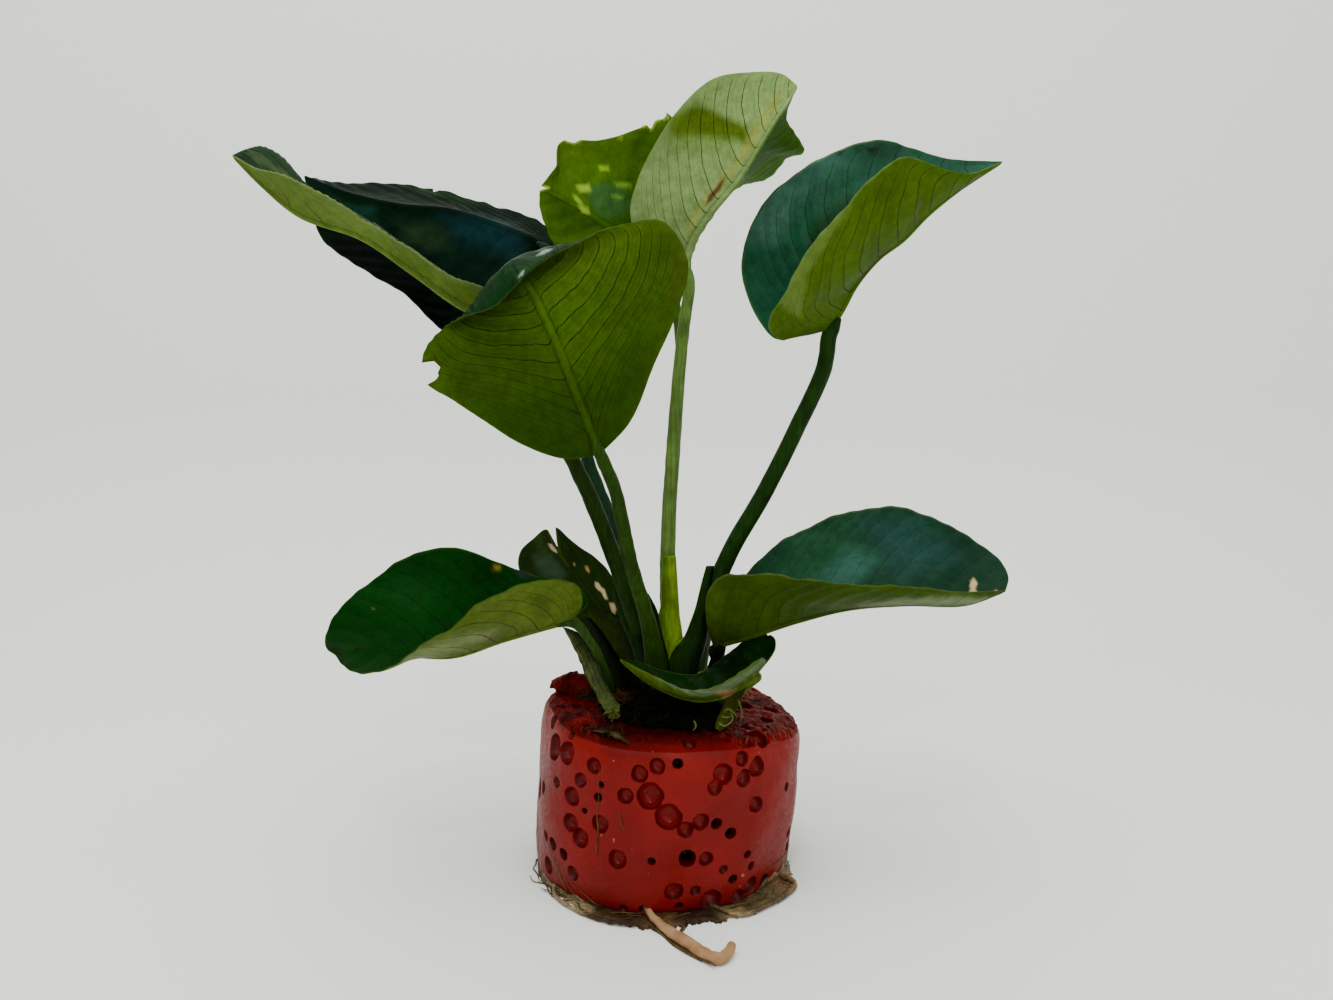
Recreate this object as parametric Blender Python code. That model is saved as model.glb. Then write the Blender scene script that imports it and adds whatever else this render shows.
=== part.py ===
"""Anubias plant rooted on a porous red stone, as a set of separate solids.

The stone is a short, slightly leaning cylinder with a flat bottom. The rhizome lies on its top.
Each leaf has a stalk that starts on the rhizome and a blade that starts at the stalk's end.
Lengths below are millimetres, and MM turns them into Blender's metres.
The origin is the centre of the stone's flat bottom, with +Z up and the plant's front towards -Y.
"""

import math
import random

import bmesh
import bpy
from mathutils import Vector, noise

MM = 0.001
GAP = 0.35
TINY = 1e-9
SHARP_ANGLE = 40
KNOT_POWER = 0.7

# Stone: radius at each height, from the flat bottom to the rounded shoulder. The top is
# higher at its left and back rim and lower at its right, by these lengths at the rim.
STONE_PROFILE = [
    (0.0, 31.2), (1.6, 32.6), (6.0, 33.1), (12.0, 33.4), (18.0, 33.8), (24.0, 33.9),
    (30.0, 33.6), (35.0, 33.2), (38.5, 32.6), (40.8, 31.0), (41.8, 28.0), (42.0, 20.0),
    (42.0, 10.0),
]
STONE_HEIGHT = 42.0
STONE_LEAN = 3.6
RIM_DISTANCE = 33.0
LEFT_RISE = 7.0
RIGHT_DROP = 3.2
BACK_RISE = 4.0
RISE_POWER = 3
STONE_SIDES = 40
LUMP_SIZE = 14.0
LUMP_DEPTH = 0.55

# Pits in the front of the stone: angle from the front towards +X in degrees, height, radius
FRONT_PITS = [
    (-76, 21.0, 2.3), (-66, 38.0, 2.0), (-66, 13.0, 1.8), (-60, 5.5, 2.2), (-58, 33.5, 2.8),
    (-53, 27.5, 1.6), (-48, 35.5, 2.4), (-46, 11.5, 1.8), (-43, 19.5, 2.5), (-43, 26.0, 2.2),
    (-40, 7.5, 2.0), (-39, 30.5, 1.9), (-33, 34.5, 2.1), (-34, 15.0, 1.9), (-28, 21.0, 2.3),
    (-19, 13.7, 2.4), (-18, 28.8, 2.1), (-13, 34.3, 2.1), (-8, 29.5, 3.2), (-6, 36.6, 1.9),
    (0, 24.8, 3.2), (5, 6.3, 2.4), (7, 21.2, 2.1), (9, 14.6, 2.3), (14, 23.4, 2.1),
    (17, 13.9, 1.9), (18, 30.6, 1.9), (21, 34.8, 2.6), (21, 4.6, 2.8), (22, 22.0, 1.6),
    (27, 18.4, 1.6), (30, 38.0, 1.9), (31, 31.8, 2.1), (34, 4.4, 2.0), (37, 10.5, 1.6),
    (38, 25.0, 2.1), (39, 35.0, 2.4), (43, 5.0, 2.2), (58, 26.7, 1.7), (68, 12.5, 1.9),
]

# Pits in the top and its shoulder: x, y, radius
TOP_PITS = [
    (8, -27, 1.8), (20, -22, 2.5), (21, -16, 1.6), (26, -8, 2.0), (22, 2, 2.1), (28, 4, 1.9),
    (-5, -27, 1.7), (-14, 22, 2.3), (12, 22, 2.2), (-24, 10, 2.0),
]

# Pits round the back, placed by a seeded draw
BACK_PITS = 22
BACK_PIT_ANGLE = (85, 275)
BACK_PIT_HEIGHT = (5, 37)
BACK_PIT_RADIUS = (1.7, 3.1)
BACK_PIT_SPACING = 0.8
TOP_PIT_LIFT = 0.4
PIT_SEED = 7
PIT_RISE = 0.12
PIT_SPREAD = 1.12

# Rhizome: the creeping stem on the stone, with a short side shoot towards the back
RHIZOME_PATH = [
    (-14.5, -2.5, 46.7), (-8, 0.5, 47.0), (-1, 0.5, 47.1), (6, -1.5, 47.0), (13.5, -7, 46.1),
]
RHIZOME_RADII = [2.4, 4.3, 4.6, 4.3, 2.6]
SIDE_SHOOT_PATH = [(-1, 1, 46.9), (-0.5, 7, 46.5), (1.5, 12.5, 46.1)]
SIDE_SHOOT_RADII = [4.2, 4.0, 2.6]
STEM_SIDES = 10
STEM_STEPS = 9
SHOOT_SIDES = 9
SHOOT_STEPS = 4
DOME_RISE = 0.6
DOME_WIDTH = 0.55

# Leaves: midrib and the two edges of the blade as x, y, z, all from the base to the tip.
# Left and right are as seen on the upper face with the tip up. The stalk's route runs down
# from the blade, and its radii are at the blade and at the rhizome. The seat is how far the
# stalk's end sits below the blade's base. The arch is how far each half bulges towards the
# upper face.
LEAVES = {
    "front": {
        "midrib": [(-13, -36, 108.5), (-18, -41, 122.5), (-23, -43, 135.5), (-28, -40, 145),
                   (-32, -37, 149.5), (-32, -40, 150), (-29, -45, 145.5)],
        "left": [(-13, -36, 108.5), (-6.5, -34, 115.5), (-1, -32, 128.5), (4, -30, 140),
                 (6.5, -28, 151.5), (1, -27, 160.5), (-8.5, -29, 159.5), (-19.5, -36, 153.5),
                 (-25, -42, 149.5), (-29, -45, 145.5)],
        "right": [(-13, -36, 108.5), (-20.5, -36, 107.5), (-31, -35, 111), (-39, -34, 116),
                  (-46, -33, 120.5), (-52.5, -32, 125), (-52.5, -31, 131.5), (-48.5, -30, 136.5),
                  (-43, -36, 138.5), (-34.5, -43, 140.5), (-29, -45, 145.5)],
        "stalk": [(-10, -30, 100), (-7, -20, 82.5), (-2.5, -10, 63.5), (0, -5, 46.5)],
        "seat": 2.3,
        "radii": (1.4, 2.1),
        "arch": (2, 2),
    },
    "left_near": {
        "midrib": [(-37, -14, 139.5), (-45.5, -17, 142), (-57, -20, 150), (-68, -23, 157.5),
                   (-81, -27, 162), (-88, -30, 168), (-93.5, -32, 174)],
        "left": [(-37, -14, 139.5), (-39, -22, 145.5), (-46, -28, 148), (-58, -34, 155.5),
                 (-68.5, -38, 162.5), (-79, -38, 168), (-88, -35, 171), (-93.5, -32, 174)],
        "right": [(-37, -14, 139.5), (-42, -4, 145), (-55, 0, 150.5), (-66, -6, 157),
                  (-77, -10, 165.5), (-83, -15, 171), (-87.5, -19, 176.5), (-90.5, -22, 178),
                  (-92.5, -28, 176), (-93.5, -32, 174)],
        "stalk": [(-21, -12, 105.5), (-15, -8, 91), (-3.5, -1, 52), (-3, -0.5, 46)],
        "seat": 1.4,
        "radii": (1.6, 2.3),
        "arch": (1.5, 1.5),
    },
    "left_back": {
        "midrib": [(-29, 14, 159.5), (-35, 13, 163.5), (-45, 12, 167.5), (-54.5, 11, 170),
                   (-67, 10, 171), (-79.5, 9, 173.5), (-91, 8, 177.5)],
        "left": [(-29, 14, 159.5), (-36, 6, 147.5), (-54.5, 2, 138), (-63.5, 2, 146.5),
                 (-77, 2, 154.5), (-85.5, 3, 161.5), (-88, 4, 169.5), (-91, 8, 177.5)],
        "right": [(-29, 14, 159.5), (-27.5, 18, 163), (-32.5, 24, 168.5), (-44.5, 30, 173),
                  (-58.5, 32, 177.5), (-72, 31, 180), (-84.5, 26, 179), (-89.5, 16, 178),
                  (-91, 8, 177.5)],
        "stalk": [(-19, 10, 104.5), (-14.5, 10, 92), (-6.5, 9.5, 67), (-4.5, 7, 47)],
        "seat": 2.1,
        "radii": (1.5, 2.0),
        "arch": (-2, -2),
    },
    "top_front": {
        "midrib": [(7, 2, 149), (7.5, 0, 158), (12.5, -3, 166), (19.5, -5, 174),
                   (26.5, -7, 185), (33, -8, 195.5)],
        "left": [(7, 2, 149), (8, 14, 156.5), (11, 24, 165), (18, 28, 176), (22.5, 28, 179),
                 (29, 25, 180), (33.5, 20, 184.5), (37.5, 14, 185), (34.5, 8, 188),
                 (31.5, 2, 190.5), (33, -8, 195.5)],
        "right": [(7, 2, 149), (3, 3, 155.5), (-5, 3, 160.5), (-7.5, 3, 167.5),
                  (-5.5, 2, 175.5), (-2, 1, 182.5), (4, -1, 191), (13, -3, 198.5),
                  (22, -5, 199.5), (29.5, -7, 198.5), (33, -8, 195.5)],
        "stalk": [(6, 3, 138), (3, 5, 102.5), (2, 5, 79), (2.5, 4, 56.5), (3, 3, 47)],
        "seat": 2.1,
        "radii": (1.4, 2.3),
        "arch": (2, 2),
    },
    "top_back": {
        "midrib": [(3, 24, 151.5), (-2.5, 20, 158.5), (-10, 14, 163.5), (-18, 8, 168),
                   (-25, 4, 171.5), (-30, 2, 173.5)],
        "left": [(3, 24, 151.5), (-5.5, 16, 147), (-15.5, 8, 149), (-24, 4, 155.5),
                 (-28, 2, 162.5), (-30, 2, 168.5), (-30, 2, 173.5)],
        "right": [(3, 24, 151.5), (5, 24, 158), (5, 20, 168.5), (5.5, 17, 181), (5, 16, 191),
                  (1.5, 16, 195.5), (-5, 14, 191), (-15.5, 10, 187), (-25, 6, 185.5),
                  (-26, 3, 179), (-30, 2, 173.5)],
        "stalk": [(5.5, 23, 135.5), (4.5, 22, 115), (3, 19, 93), (2, 14, 66.5), (1, 10.5, 46)],
        "seat": 2.0,
        "radii": (1.3, 1.8),
        "arch": (-1.5, -2),
    },
    "right": {
        "midrib": [(42, -2, 138), (45, -3, 142.5), (48.5, -4, 149), (54, -6, 155.5),
                   (59.5, -6, 159.5), (65.5, -5, 165.5), (73, -4, 171.5), (84.5, -2, 179)],
        "left": [(42, -2, 138), (35.5, 1, 136.5), (29.5, 3, 136), (25.5, 5, 140.5),
                 (23, 6, 145.5), (21, 8, 154), (22, 9, 161), (27, 11, 171.5), (35.5, 12, 179),
                 (45.5, 12, 184.5), (56.5, 10, 187), (64, 8, 184.5), (73, 4, 181),
                 (84.5, -2, 179)],
        "right": [(42, -2, 138), (35.5, -8, 136.5), (28.5, -14, 135), (25.5, -20, 138.5),
                  (28.5, -24, 144.5), (34.5, -26, 155.5), (41.5, -26, 163.5), (48, -25, 170.5),
                  (56, -21, 176), (62, -18, 175.5), (69, -13, 174.5), (75.5, -8, 175),
                  (84.5, -2, 179)],
        "stalk": [(41.5, -1, 129), (35, 1, 113.5), (26.5, 2, 96), (18.5, 2, 82), (13, 1, 69),
                  (8.5, -0.5, 53.5), (7.2, -2, 48)],
        "seat": 2.2,
        "radii": (2.0, 2.4),
        "arch": (-2, -2),
    },
    "low_left": {
        "midrib": [(-22.5, -8, 65.5), (-28.5, -9, 64), (-39, -10, 61), (-51.5, -11, 57),
                   (-63.5, -11, 57.5), (-75, -10, 59), (-81, -10, 57)],
        "left": [(-22.5, -8, 65.5), (-19, -14, 70.5), (-19.5, -19, 76), (-23.5, -22, 78),
                 (-30.5, -25, 78), (-41, -27, 73.5), (-49.5, -27, 67), (-56, -26, 63),
                 (-63.5, -24, 57.5), (-71, -22, 55.5), (-77.5, -16, 56), (-81, -10, 57)],
        "right": [(-22.5, -8, 65.5), (-18.5, -3, 69), (-22, 2, 73), (-32.5, 5, 74.5),
                  (-42.5, 8, 77.5), (-56, 13, 81), (-68, 13, 78.5), (-77, 11, 72.5),
                  (-81.5, 9, 69), (-85.5, 5, 64), (-86.5, 0, 60), (-84.5, -6, 58),
                  (-81, -10, 57)],
        "stalk": [(-17, -6.5, 60), (-14, -4.5, 52.5), (-12, -3, 47)],
        "seat": 1.1,
        "radii": (1.4, 1.8),
        "arch": (-1.5, -2),
    },
    "split": {
        "midrib": [(-8, 3.5, 53.5), (-13, 6, 61), (-20, 9, 70.5), (-27, 10, 80)],
        "left": [(-8, 3.5, 53.5), (-15.5, 4, 57.5), (-22.5, 8, 62), (-31, 11, 67),
                 (-38, 12, 75.5), (-37.5, 12, 80), (-34, 12, 83.5), (-30.5, 12, 86),
                 (-27, 10, 80)],
        "right": [(-8, 3.5, 53.5), (-5.5, 4, 56), (-6.5, 5, 60), (-9.5, 8, 68),
                  (-15, 10, 76.5), (-22.5, 11, 82), (-28, 12, 86.5), (-27, 10, 80)],
        "stalk": [(-7, 1.5, 47.5)],
        "seat": 2.0,
        "radii": (1.3, 1.6),
        "arch": (-1, -1),
    },
    "low_right": {
        "midrib": [(13.5, -6, 58.5), (21, -8, 61), (34, -11, 66), (46.5, -13, 69.5),
                   (60.5, -13, 70.5), (76.5, -10, 70), (86.5, -8, 73)],
        "left": [(13.5, -6, 58.5), (15, 0, 62.5), (19.5, 6, 70.5), (28, 10, 79.5),
                 (33.5, 12, 83.5), (40.5, 14, 86.5), (47, 15, 89.5), (55, 16, 91),
                 (64, 16, 91.5), (76.5, 14, 87.5), (83.5, 10, 83.5), (88.5, 2, 78.5),
                 (88.5, -4, 75.5), (86.5, -8, 73)],
        "right": [(13.5, -6, 58.5), (11.5, -13, 67), (11.5, -18, 74), (15, -22, 79),
                  (21.5, -25, 80), (35, -27, 79), (46, -27, 78), (61, -24, 76.5),
                  (74.5, -16, 74), (86.5, -8, 73)],
        "stalk": [(11.5, -4.5, 52.5), (10.5, -4.2, 48)],
        "seat": 1.4,
        "radii": (1.3, 1.7),
        "arch": (-2, -1.5),
    },
    "small": {
        "midrib": [(23, -14, 53), (18.5, -17, 50), (10, -20, 48.5), (2, -20, 50.5),
                   (-4.5, -19, 54), (-9.5, -18, 58)],
        "left": [(23, -14, 53), (25.5, -20, 58), (25, -23, 60.5), (20, -26, 58), (13, -27, 54),
                 (7, -26, 52.5), (0, -23, 54.5), (-9.5, -18, 58)],
        "right": [(23, -14, 53), (28.5, -9, 57.5), (29, -5, 60.5), (25.5, -4, 61),
                  (20.5, -4.5, 58.5), (16, -7.5, 56), (10, -10.5, 52.5), (1, -13.5, 54),
                  (-5, -15, 56.5), (-9.5, -18, 58)],
        "stalk": [(19, -11.5, 48.5), (14.5, -8, 45)],
        "seat": 2.4,
        "radii": (1.2, 1.5),
        "arch": (-1, -1.5),
    },
}
BLADE_ROWS = 11
BLADE_COLUMNS = 3
BLADE_THICKNESS = 0.9
MIDRIB_THICKNESS = 0.8
RIM_SHARE = 0.75

STALK_SIDES = 8
STALK_STEP = 10.0

# Old withered leaf stalk at the left, from its torn top down to its frayed end on the stone
OLD_STALK_PATH = [
    (-24.5, -3, 61.5), (-21.5, -4.5, 57), (-19, -8, 51.5), (-15.5, -12.5, 46), (-12.5, -17.5, 44.2),
]
OLD_STALK_RADII = [1.0, 1.7, 1.6, 1.5, 0.9]
OLD_STALK_SIDES = 7
OLD_STALK_STEPS = 8

# Roots that leave the foot of the stone and lie on the surface it stands on. Each starts
# inside the stone, and all but two also end there, and the stone's clearance trims them.
ROOTS = {
    "root_front": {
        "path": [(-3.5, -30, 1.7), (-1, -36.5, 1.5), (2, -41.5, 1.5), (7, -48, 1.5), (11, -53, 1.5),
                 (13, -54, 1.5), (14.8, -52, 1.5), (16, -48.5, 1.5)],
        "radii": [1.2, 1.2, 1.3, 1.4, 1.4, 1.3, 1.3, 1.1],
    },
    "root_right": {
        "path": [(11.5, -28.5, 1.2), (19, -33, 0.9), (25.5, -28.5, 0.9), (31, -22.5, 0.9),
                 (33.5, -17, 1.0), (28.5, -10.5, 1.3)],
        "radii": [0.7, 0.7, 0.8, 0.8, 0.8, 0.9],
    },
    "root_left": {
        "path": [(-26, -15, 1.2), (-25.5, -22.5, 0.8), (-18.5, -31.5, 0.7), (-11, -36.5, 0.7),
                 (-5, -38, 0.7)],
        "radii": [0.7, 0.6, 0.6, 0.6, 0.4],
    },
    "root_back": {
        "path": [(-8.5, 29, 1.2), (-4, 36.5, 0.9), (4, 38.5, 0.9), (10.5, 36, 0.9), (12.5, 27.5, 1.2)],
        "radii": [0.8, 0.8, 0.8, 0.7, 0.7],
    },
}
ROOT_SIDES = 6
CLEARANCE_DROP = 0.5


def clear_scene():
    for item in list(bpy.data.objects):
        bpy.data.objects.remove(item, do_unlink=True)


def make_material(name, colour, roughness):
    material = bpy.data.materials.new(name)
    material.use_nodes = True
    shader = material.node_tree.nodes["Principled BSDF"]
    shader.inputs["Base Color"].default_value = (*colour, 1.0)
    shader.inputs["Roughness"].default_value = roughness
    return material


def add_object(name, mesh_data, material):
    """Turn a bmesh in millimetres into a named object in metres."""
    bmesh.ops.recalc_face_normals(mesh_data, faces=mesh_data.faces)
    bmesh.ops.scale(mesh_data, vec=(MM, MM, MM), verts=mesh_data.verts)
    mesh = bpy.data.meshes.new(name)
    mesh_data.to_mesh(mesh)
    mesh_data.free()
    mesh.shade_smooth()
    mesh.set_sharp_from_angle(angle=math.radians(SHARP_ANGLE))
    item = bpy.data.objects.new(name, mesh)
    bpy.context.scene.collection.objects.link(item)
    if material:
        mesh.materials.append(material)
    return item


def as_cutter(item):
    item.hide_render = True
    item.display_type = 'WIRE'


def cut(item, cutter, operation='DIFFERENCE'):
    modifier = item.modifiers.new("cut", 'BOOLEAN')
    modifier.operation = operation
    modifier.object = cutter
    modifier.solver = 'EXACT'
    modifier.use_self = True


def smooth_rail(points, count):
    """Points of a smooth curve through hand-placed points, from the first to the last."""
    places = [Vector(point) for point in points]
    knots = [0.0]
    for first, second in zip(places, places[1:]):
        knots.append(knots[-1] + (second - first).length ** KNOT_POWER)
    slopes = []
    last = len(places) - 1
    for i in range(len(places)):
        before = max(i - 1, 0)
        after = min(i + 1, last)
        if before == i or after == i:
            slopes.append((places[after] - places[before]) / (knots[after] - knots[before]))
            continue
        back = (places[i] - places[before]) / (knots[i] - knots[before])
        ahead = (places[after] - places[i]) / (knots[after] - knots[i])
        share = (knots[i] - knots[before]) / (knots[after] - knots[before])
        slopes.append(back * (1 - share) + ahead * share)
    curve = []
    for step in range(count + 1):
        target = knots[-1] * step / count
        i = 0
        while i < last - 1 and knots[i + 1] <= target:
            i += 1
        width = knots[i + 1] - knots[i]
        t = (target - knots[i]) / width
        curve.append(
            (2 * t**3 - 3 * t**2 + 1) * places[i]
            + (t**3 - 2 * t**2 + t) * width * slopes[i]
            + (3 * t**2 - 2 * t**3) * places[i + 1]
            + (t**3 - t**2) * width * slopes[i + 1]
        )
    return curve


def blend_list(values, share):
    """Value at a share of the way along a list, in straight steps between its entries."""
    place = share * (len(values) - 1)
    i = min(int(place), len(values) - 2)
    return values[i] + (values[i + 1] - values[i]) * (place - i)


def path_length(places):
    return sum((b - a).length for a, b in zip(places, places[1:]))


def tube(points, radii, sides, count, domed=False):
    """Closed tube along a smooth curve, with flat or domed ends."""
    spine = smooth_rail(points, count)
    widths = [blend_list(radii, i / count) for i in range(count + 1)]
    if domed:
        first = spine[0] + (spine[0] - spine[1]).normalized() * widths[0] * DOME_RISE
        final = spine[-1] + (spine[-1] - spine[-2]).normalized() * widths[-1] * DOME_RISE
        spine = [first] + spine + [final]
        widths = [widths[0] * DOME_WIDTH] + widths + [widths[-1] * DOME_WIDTH]
    last = len(spine) - 1
    data = bmesh.new()
    side = None
    rings = []
    for i, centre in enumerate(spine):
        along = (spine[min(i + 1, last)] - spine[max(i - 1, 0)]).normalized()
        if side is None:
            side = along.orthogonal().normalized()
        side = (side - along * side.dot(along)).normalized()
        other = along.cross(side)
        ring = []
        for k in range(sides):
            turn = 2 * math.pi * k / sides
            out = side * math.cos(turn) + other * math.sin(turn)
            ring.append(data.verts.new(centre + out * widths[i]))
        rings.append(ring)
    for lower, upper in zip(rings, rings[1:]):
        for k in range(sides):
            m = (k + 1) % sides
            data.faces.new((lower[k], lower[m], upper[m], upper[k]))
    data.faces.new(rings[0])
    data.faces.new(rings[-1])
    return data


def blade_grid(leaf):
    """Rows of points across the blade, from its base to its tip."""
    midrib = smooth_rail(leaf["midrib"], BLADE_ROWS)
    left = smooth_rail(leaf["left"], BLADE_ROWS)
    right = smooth_rail(leaf["right"], BLADE_ROWS)
    rows = []
    for i in range(BLADE_ROWS + 1):
        centre = midrib[i]
        along = midrib[min(i + 1, BLADE_ROWS)] - midrib[max(i - 1, 0)]
        swell = math.sin(math.pi * i / BLADE_ROWS)
        halves = []
        for edge, arch, sign in ((left[i], leaf["arch"][0], 1), (right[i], leaf["arch"][1], -1)):
            across = edge - centre
            upward = along.cross(across) * sign
            if upward.length > TINY:
                upward.normalize()
            control = centre + across * 0.5 + upward * 2 * arch * swell
            half = []
            for k in range(1, BLADE_COLUMNS + 1):
                u = k / BLADE_COLUMNS
                half.append((1 - u) ** 2 * centre + 2 * u * (1 - u) * control + u * u * edge)
            halves.append(half)
        rows.append(halves[0][::-1] + [centre] + halves[1])
    return rows


def upper_normals(rows):
    """Direction out of the upper face at each point of the grid."""
    last_row = len(rows) - 1
    last_column = len(rows[0]) - 1
    normals = []
    for i in range(last_row + 1):
        row = []
        for j in range(last_column + 1):
            near = min(max(i, 1), last_row - 1)
            along = rows[near + 1][j] - rows[near - 1][j]
            across = rows[near][min(j + 1, last_column)] - rows[near][max(j - 1, 0)]
            row.append(across.cross(along).normalized())
        normals.append(row)
    middle = last_column // 2
    for i in (0, last_row):
        mean = sum(normals[i], Vector()).normalized()
        normals[i] = [mean] * (last_column + 1)
    for i in range(1, last_row):
        normals[i][middle] = (normals[i][middle - 1] + normals[i][middle + 1]).normalized()
    return normals


def blade(leaf):
    """Closed solid of one leaf blade, with a thicker midrib on its underside."""
    rows = blade_grid(leaf)
    normals = upper_normals(rows)
    last_row = BLADE_ROWS
    middle = BLADE_COLUMNS
    data = bmesh.new()
    faces = []
    for direction in (1, -1):
        sheet = []
        for i, row in enumerate(rows):
            line = []
            for j, point in enumerate(row):
                reach = abs(j - middle) / middle
                thickness = BLADE_THICKNESS / 2 * (1 - (1 - RIM_SHARE) * reach)
                if j == middle and direction < 0 and 0 < i < last_row:
                    thickness += MIDRIB_THICKNESS * (1 - i / last_row)
                place = point + normals[i][j] * thickness * direction
                ends = i in (0, last_row)
                if ends and line:
                    line.append(line[0])
                elif ends:
                    place = rows[i][middle] + normals[i][middle] * thickness * direction
                    line.append(data.verts.new(place))
                else:
                    line.append(data.verts.new(place))
            sheet.append(line)
        faces.append(sheet)
    upper, lower = faces
    for sheet, flip in ((upper, False), (lower, True)):
        for i in range(last_row):
            for j in range(2 * middle):
                ring = [sheet[i][j], sheet[i][j + 1], sheet[i + 1][j + 1], sheet[i + 1][j]]
                corners = list(dict.fromkeys(ring))
                data.faces.new(corners[::-1] if flip else corners)
    for j in (0, 2 * middle):
        for i in range(last_row):
            ring = [upper[i][j], upper[i + 1][j], lower[i + 1][j], lower[i][j]]
            data.faces.new(ring if j == 0 else ring[::-1])
    underside = -normals[0][middle]
    return data, underside


def stone_centre(height):
    return STONE_LEAN * height / STONE_HEIGHT


def stone_radius(height):
    for (low, first), (high, second) in zip(STONE_PROFILE, STONE_PROFILE[1:]):
        if low <= height <= high:
            return first + (second - first) * (height - low) / (high - low)
    return STONE_PROFILE[-1][1]


def tilt_top(place):
    """Raise the left and the back of the top, and lower its right."""
    side = LEFT_RISE if place.x < 0 else -RIGHT_DROP
    lift = side * (abs(place.x) / RIM_DISTANCE) ** RISE_POWER
    lift += BACK_RISE * (max(place.y, 0) / RIM_DISTANCE) ** RISE_POWER
    place.z += lift * (place.z / STONE_HEIGHT) ** RISE_POWER
    return place


def stone_body(grow=0.0):
    data = bmesh.new()
    rings = []
    for height, radius in STONE_PROFILE:
        ring = []
        for k in range(STONE_SIDES):
            turn = 2 * math.pi * k / STONE_SIDES
            out = Vector((math.cos(turn), math.sin(turn), 0))
            place = out * (radius + grow) + Vector((stone_centre(height), 0, height))
            if height > 0:
                place += out * noise.noise(place / LUMP_SIZE) * LUMP_DEPTH * 2
                place = tilt_top(place)
            ring.append(data.verts.new(place))
        rings.append(ring)
    for lower, upper in zip(rings, rings[1:]):
        for k in range(STONE_SIDES):
            m = (k + 1) % STONE_SIDES
            data.faces.new((lower[k], lower[m], upper[m], upper[k]))
    data.faces.new(rings[0][::-1])
    crown = data.verts.new((stone_centre(STONE_HEIGHT), 0, STONE_HEIGHT))
    for k in range(STONE_SIDES):
        data.faces.new((rings[-1][k], rings[-1][(k + 1) % STONE_SIDES], crown))
    return data


def pit_places():
    """Centre and radius of each pit, just outside the stone's surface."""
    pits = []
    for angle, height, radius in FRONT_PITS:
        pits.append(side_pit(math.radians(angle), height, radius))
    draw = random.Random(PIT_SEED)
    placed = []
    while len(placed) < BACK_PITS:
        angle = math.radians(draw.uniform(*BACK_PIT_ANGLE))
        height = draw.uniform(*BACK_PIT_HEIGHT)
        radius = draw.uniform(*BACK_PIT_RADIUS)
        pit = side_pit(angle, height, radius)
        if all((pit[0] - other[0]).length > pit[1] + other[1] + BACK_PIT_SPACING for other in placed):
            placed.append(pit)
    pits += placed
    for x, y, radius in TOP_PITS:
        reach = math.hypot(x - STONE_LEAN, y)
        height = max(h for h, r in STONE_PROFILE if r >= reach)
        place = tilt_top(Vector((x, y, height + TOP_PIT_LIFT)))
        pits.append((place + Vector((0, 0, PIT_RISE * radius)), radius))
    return pits


def side_pit(angle, height, radius):
    out = Vector((math.sin(angle), -math.cos(angle), 0))
    place = out * (stone_radius(height) + PIT_RISE * radius)
    place += Vector((stone_centre(height), 0, height))
    return tilt_top(place), radius


def pit_cutters():
    """All pits as one cutter of low round balls."""
    data = bmesh.new()
    for centre, radius in pit_places():
        made = bmesh.ops.create_icosphere(data, subdivisions=1, radius=radius * PIT_SPREAD)
        bmesh.ops.translate(data, vec=centre, verts=made["verts"])
    return data


def build_stone(material):
    stone = add_object("stone", stone_body(), material)
    cutter = add_object("stone_pits", pit_cutters(), None)
    as_cutter(cutter)
    cut(stone, cutter)
    return stone


def stem_tube(grow=0.0):
    radii = [radius + grow for radius in RHIZOME_RADII]
    return tube(RHIZOME_PATH, radii, STEM_SIDES, STEM_STEPS, domed=True)


def shoot_tube(grow=0.0):
    radii = [radius + grow for radius in SIDE_SHOOT_RADII]
    return tube(SIDE_SHOOT_PATH, radii, SHOOT_SIDES, SHOOT_STEPS, domed=True)


def build_rhizome(material):
    rhizome = add_object("rhizome", stem_tube(), material)
    shoot = add_object("side_shoot", shoot_tube(), None)
    as_cutter(shoot)
    cut(rhizome, shoot, 'UNION')


def rhizome_clearance():
    """The rhizome grown by the gap, which trims the stalks that stand on it."""
    stem = add_object("stem_clearance", stem_tube(GAP), None)
    shoot = add_object("shoot_clearance", shoot_tube(GAP), None)
    for item in (stem, shoot):
        as_cutter(item)
    return stem, shoot


def build_leaf(name, leaf, blade_material, stalk_material, clearance):
    data, underside = blade(leaf)
    add_object("leaf_" + name, data, blade_material)
    top_radius, foot_radius = leaf["radii"]
    top = Vector(leaf["midrib"][0]) + underside * leaf["seat"]
    route = [top] + [Vector(point) for point in leaf["stalk"]]
    count = max(2, round(path_length(route) / STALK_STEP))
    stalk_tube = tube(route, [top_radius, foot_radius], STALK_SIDES, count)
    stalk = add_object("stalk_" + name, stalk_tube, stalk_material)
    for item in clearance:
        cut(stalk, item)


def build_roots(material):
    """The roots, trimmed by the stone grown by the gap and lowered to reach below the floor."""
    grown = stone_body(GAP)
    bmesh.ops.translate(grown, vec=(0, 0, -CLEARANCE_DROP), verts=grown.verts)
    clearance = add_object("stone_clearance", grown, None)
    as_cutter(clearance)
    for name, root in ROOTS.items():
        count = 2 * (len(root["path"]) - 1)
        item = add_object(name, tube(root["path"], root["radii"], ROOT_SIDES, count), material)
        cut(item, clearance)


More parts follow.
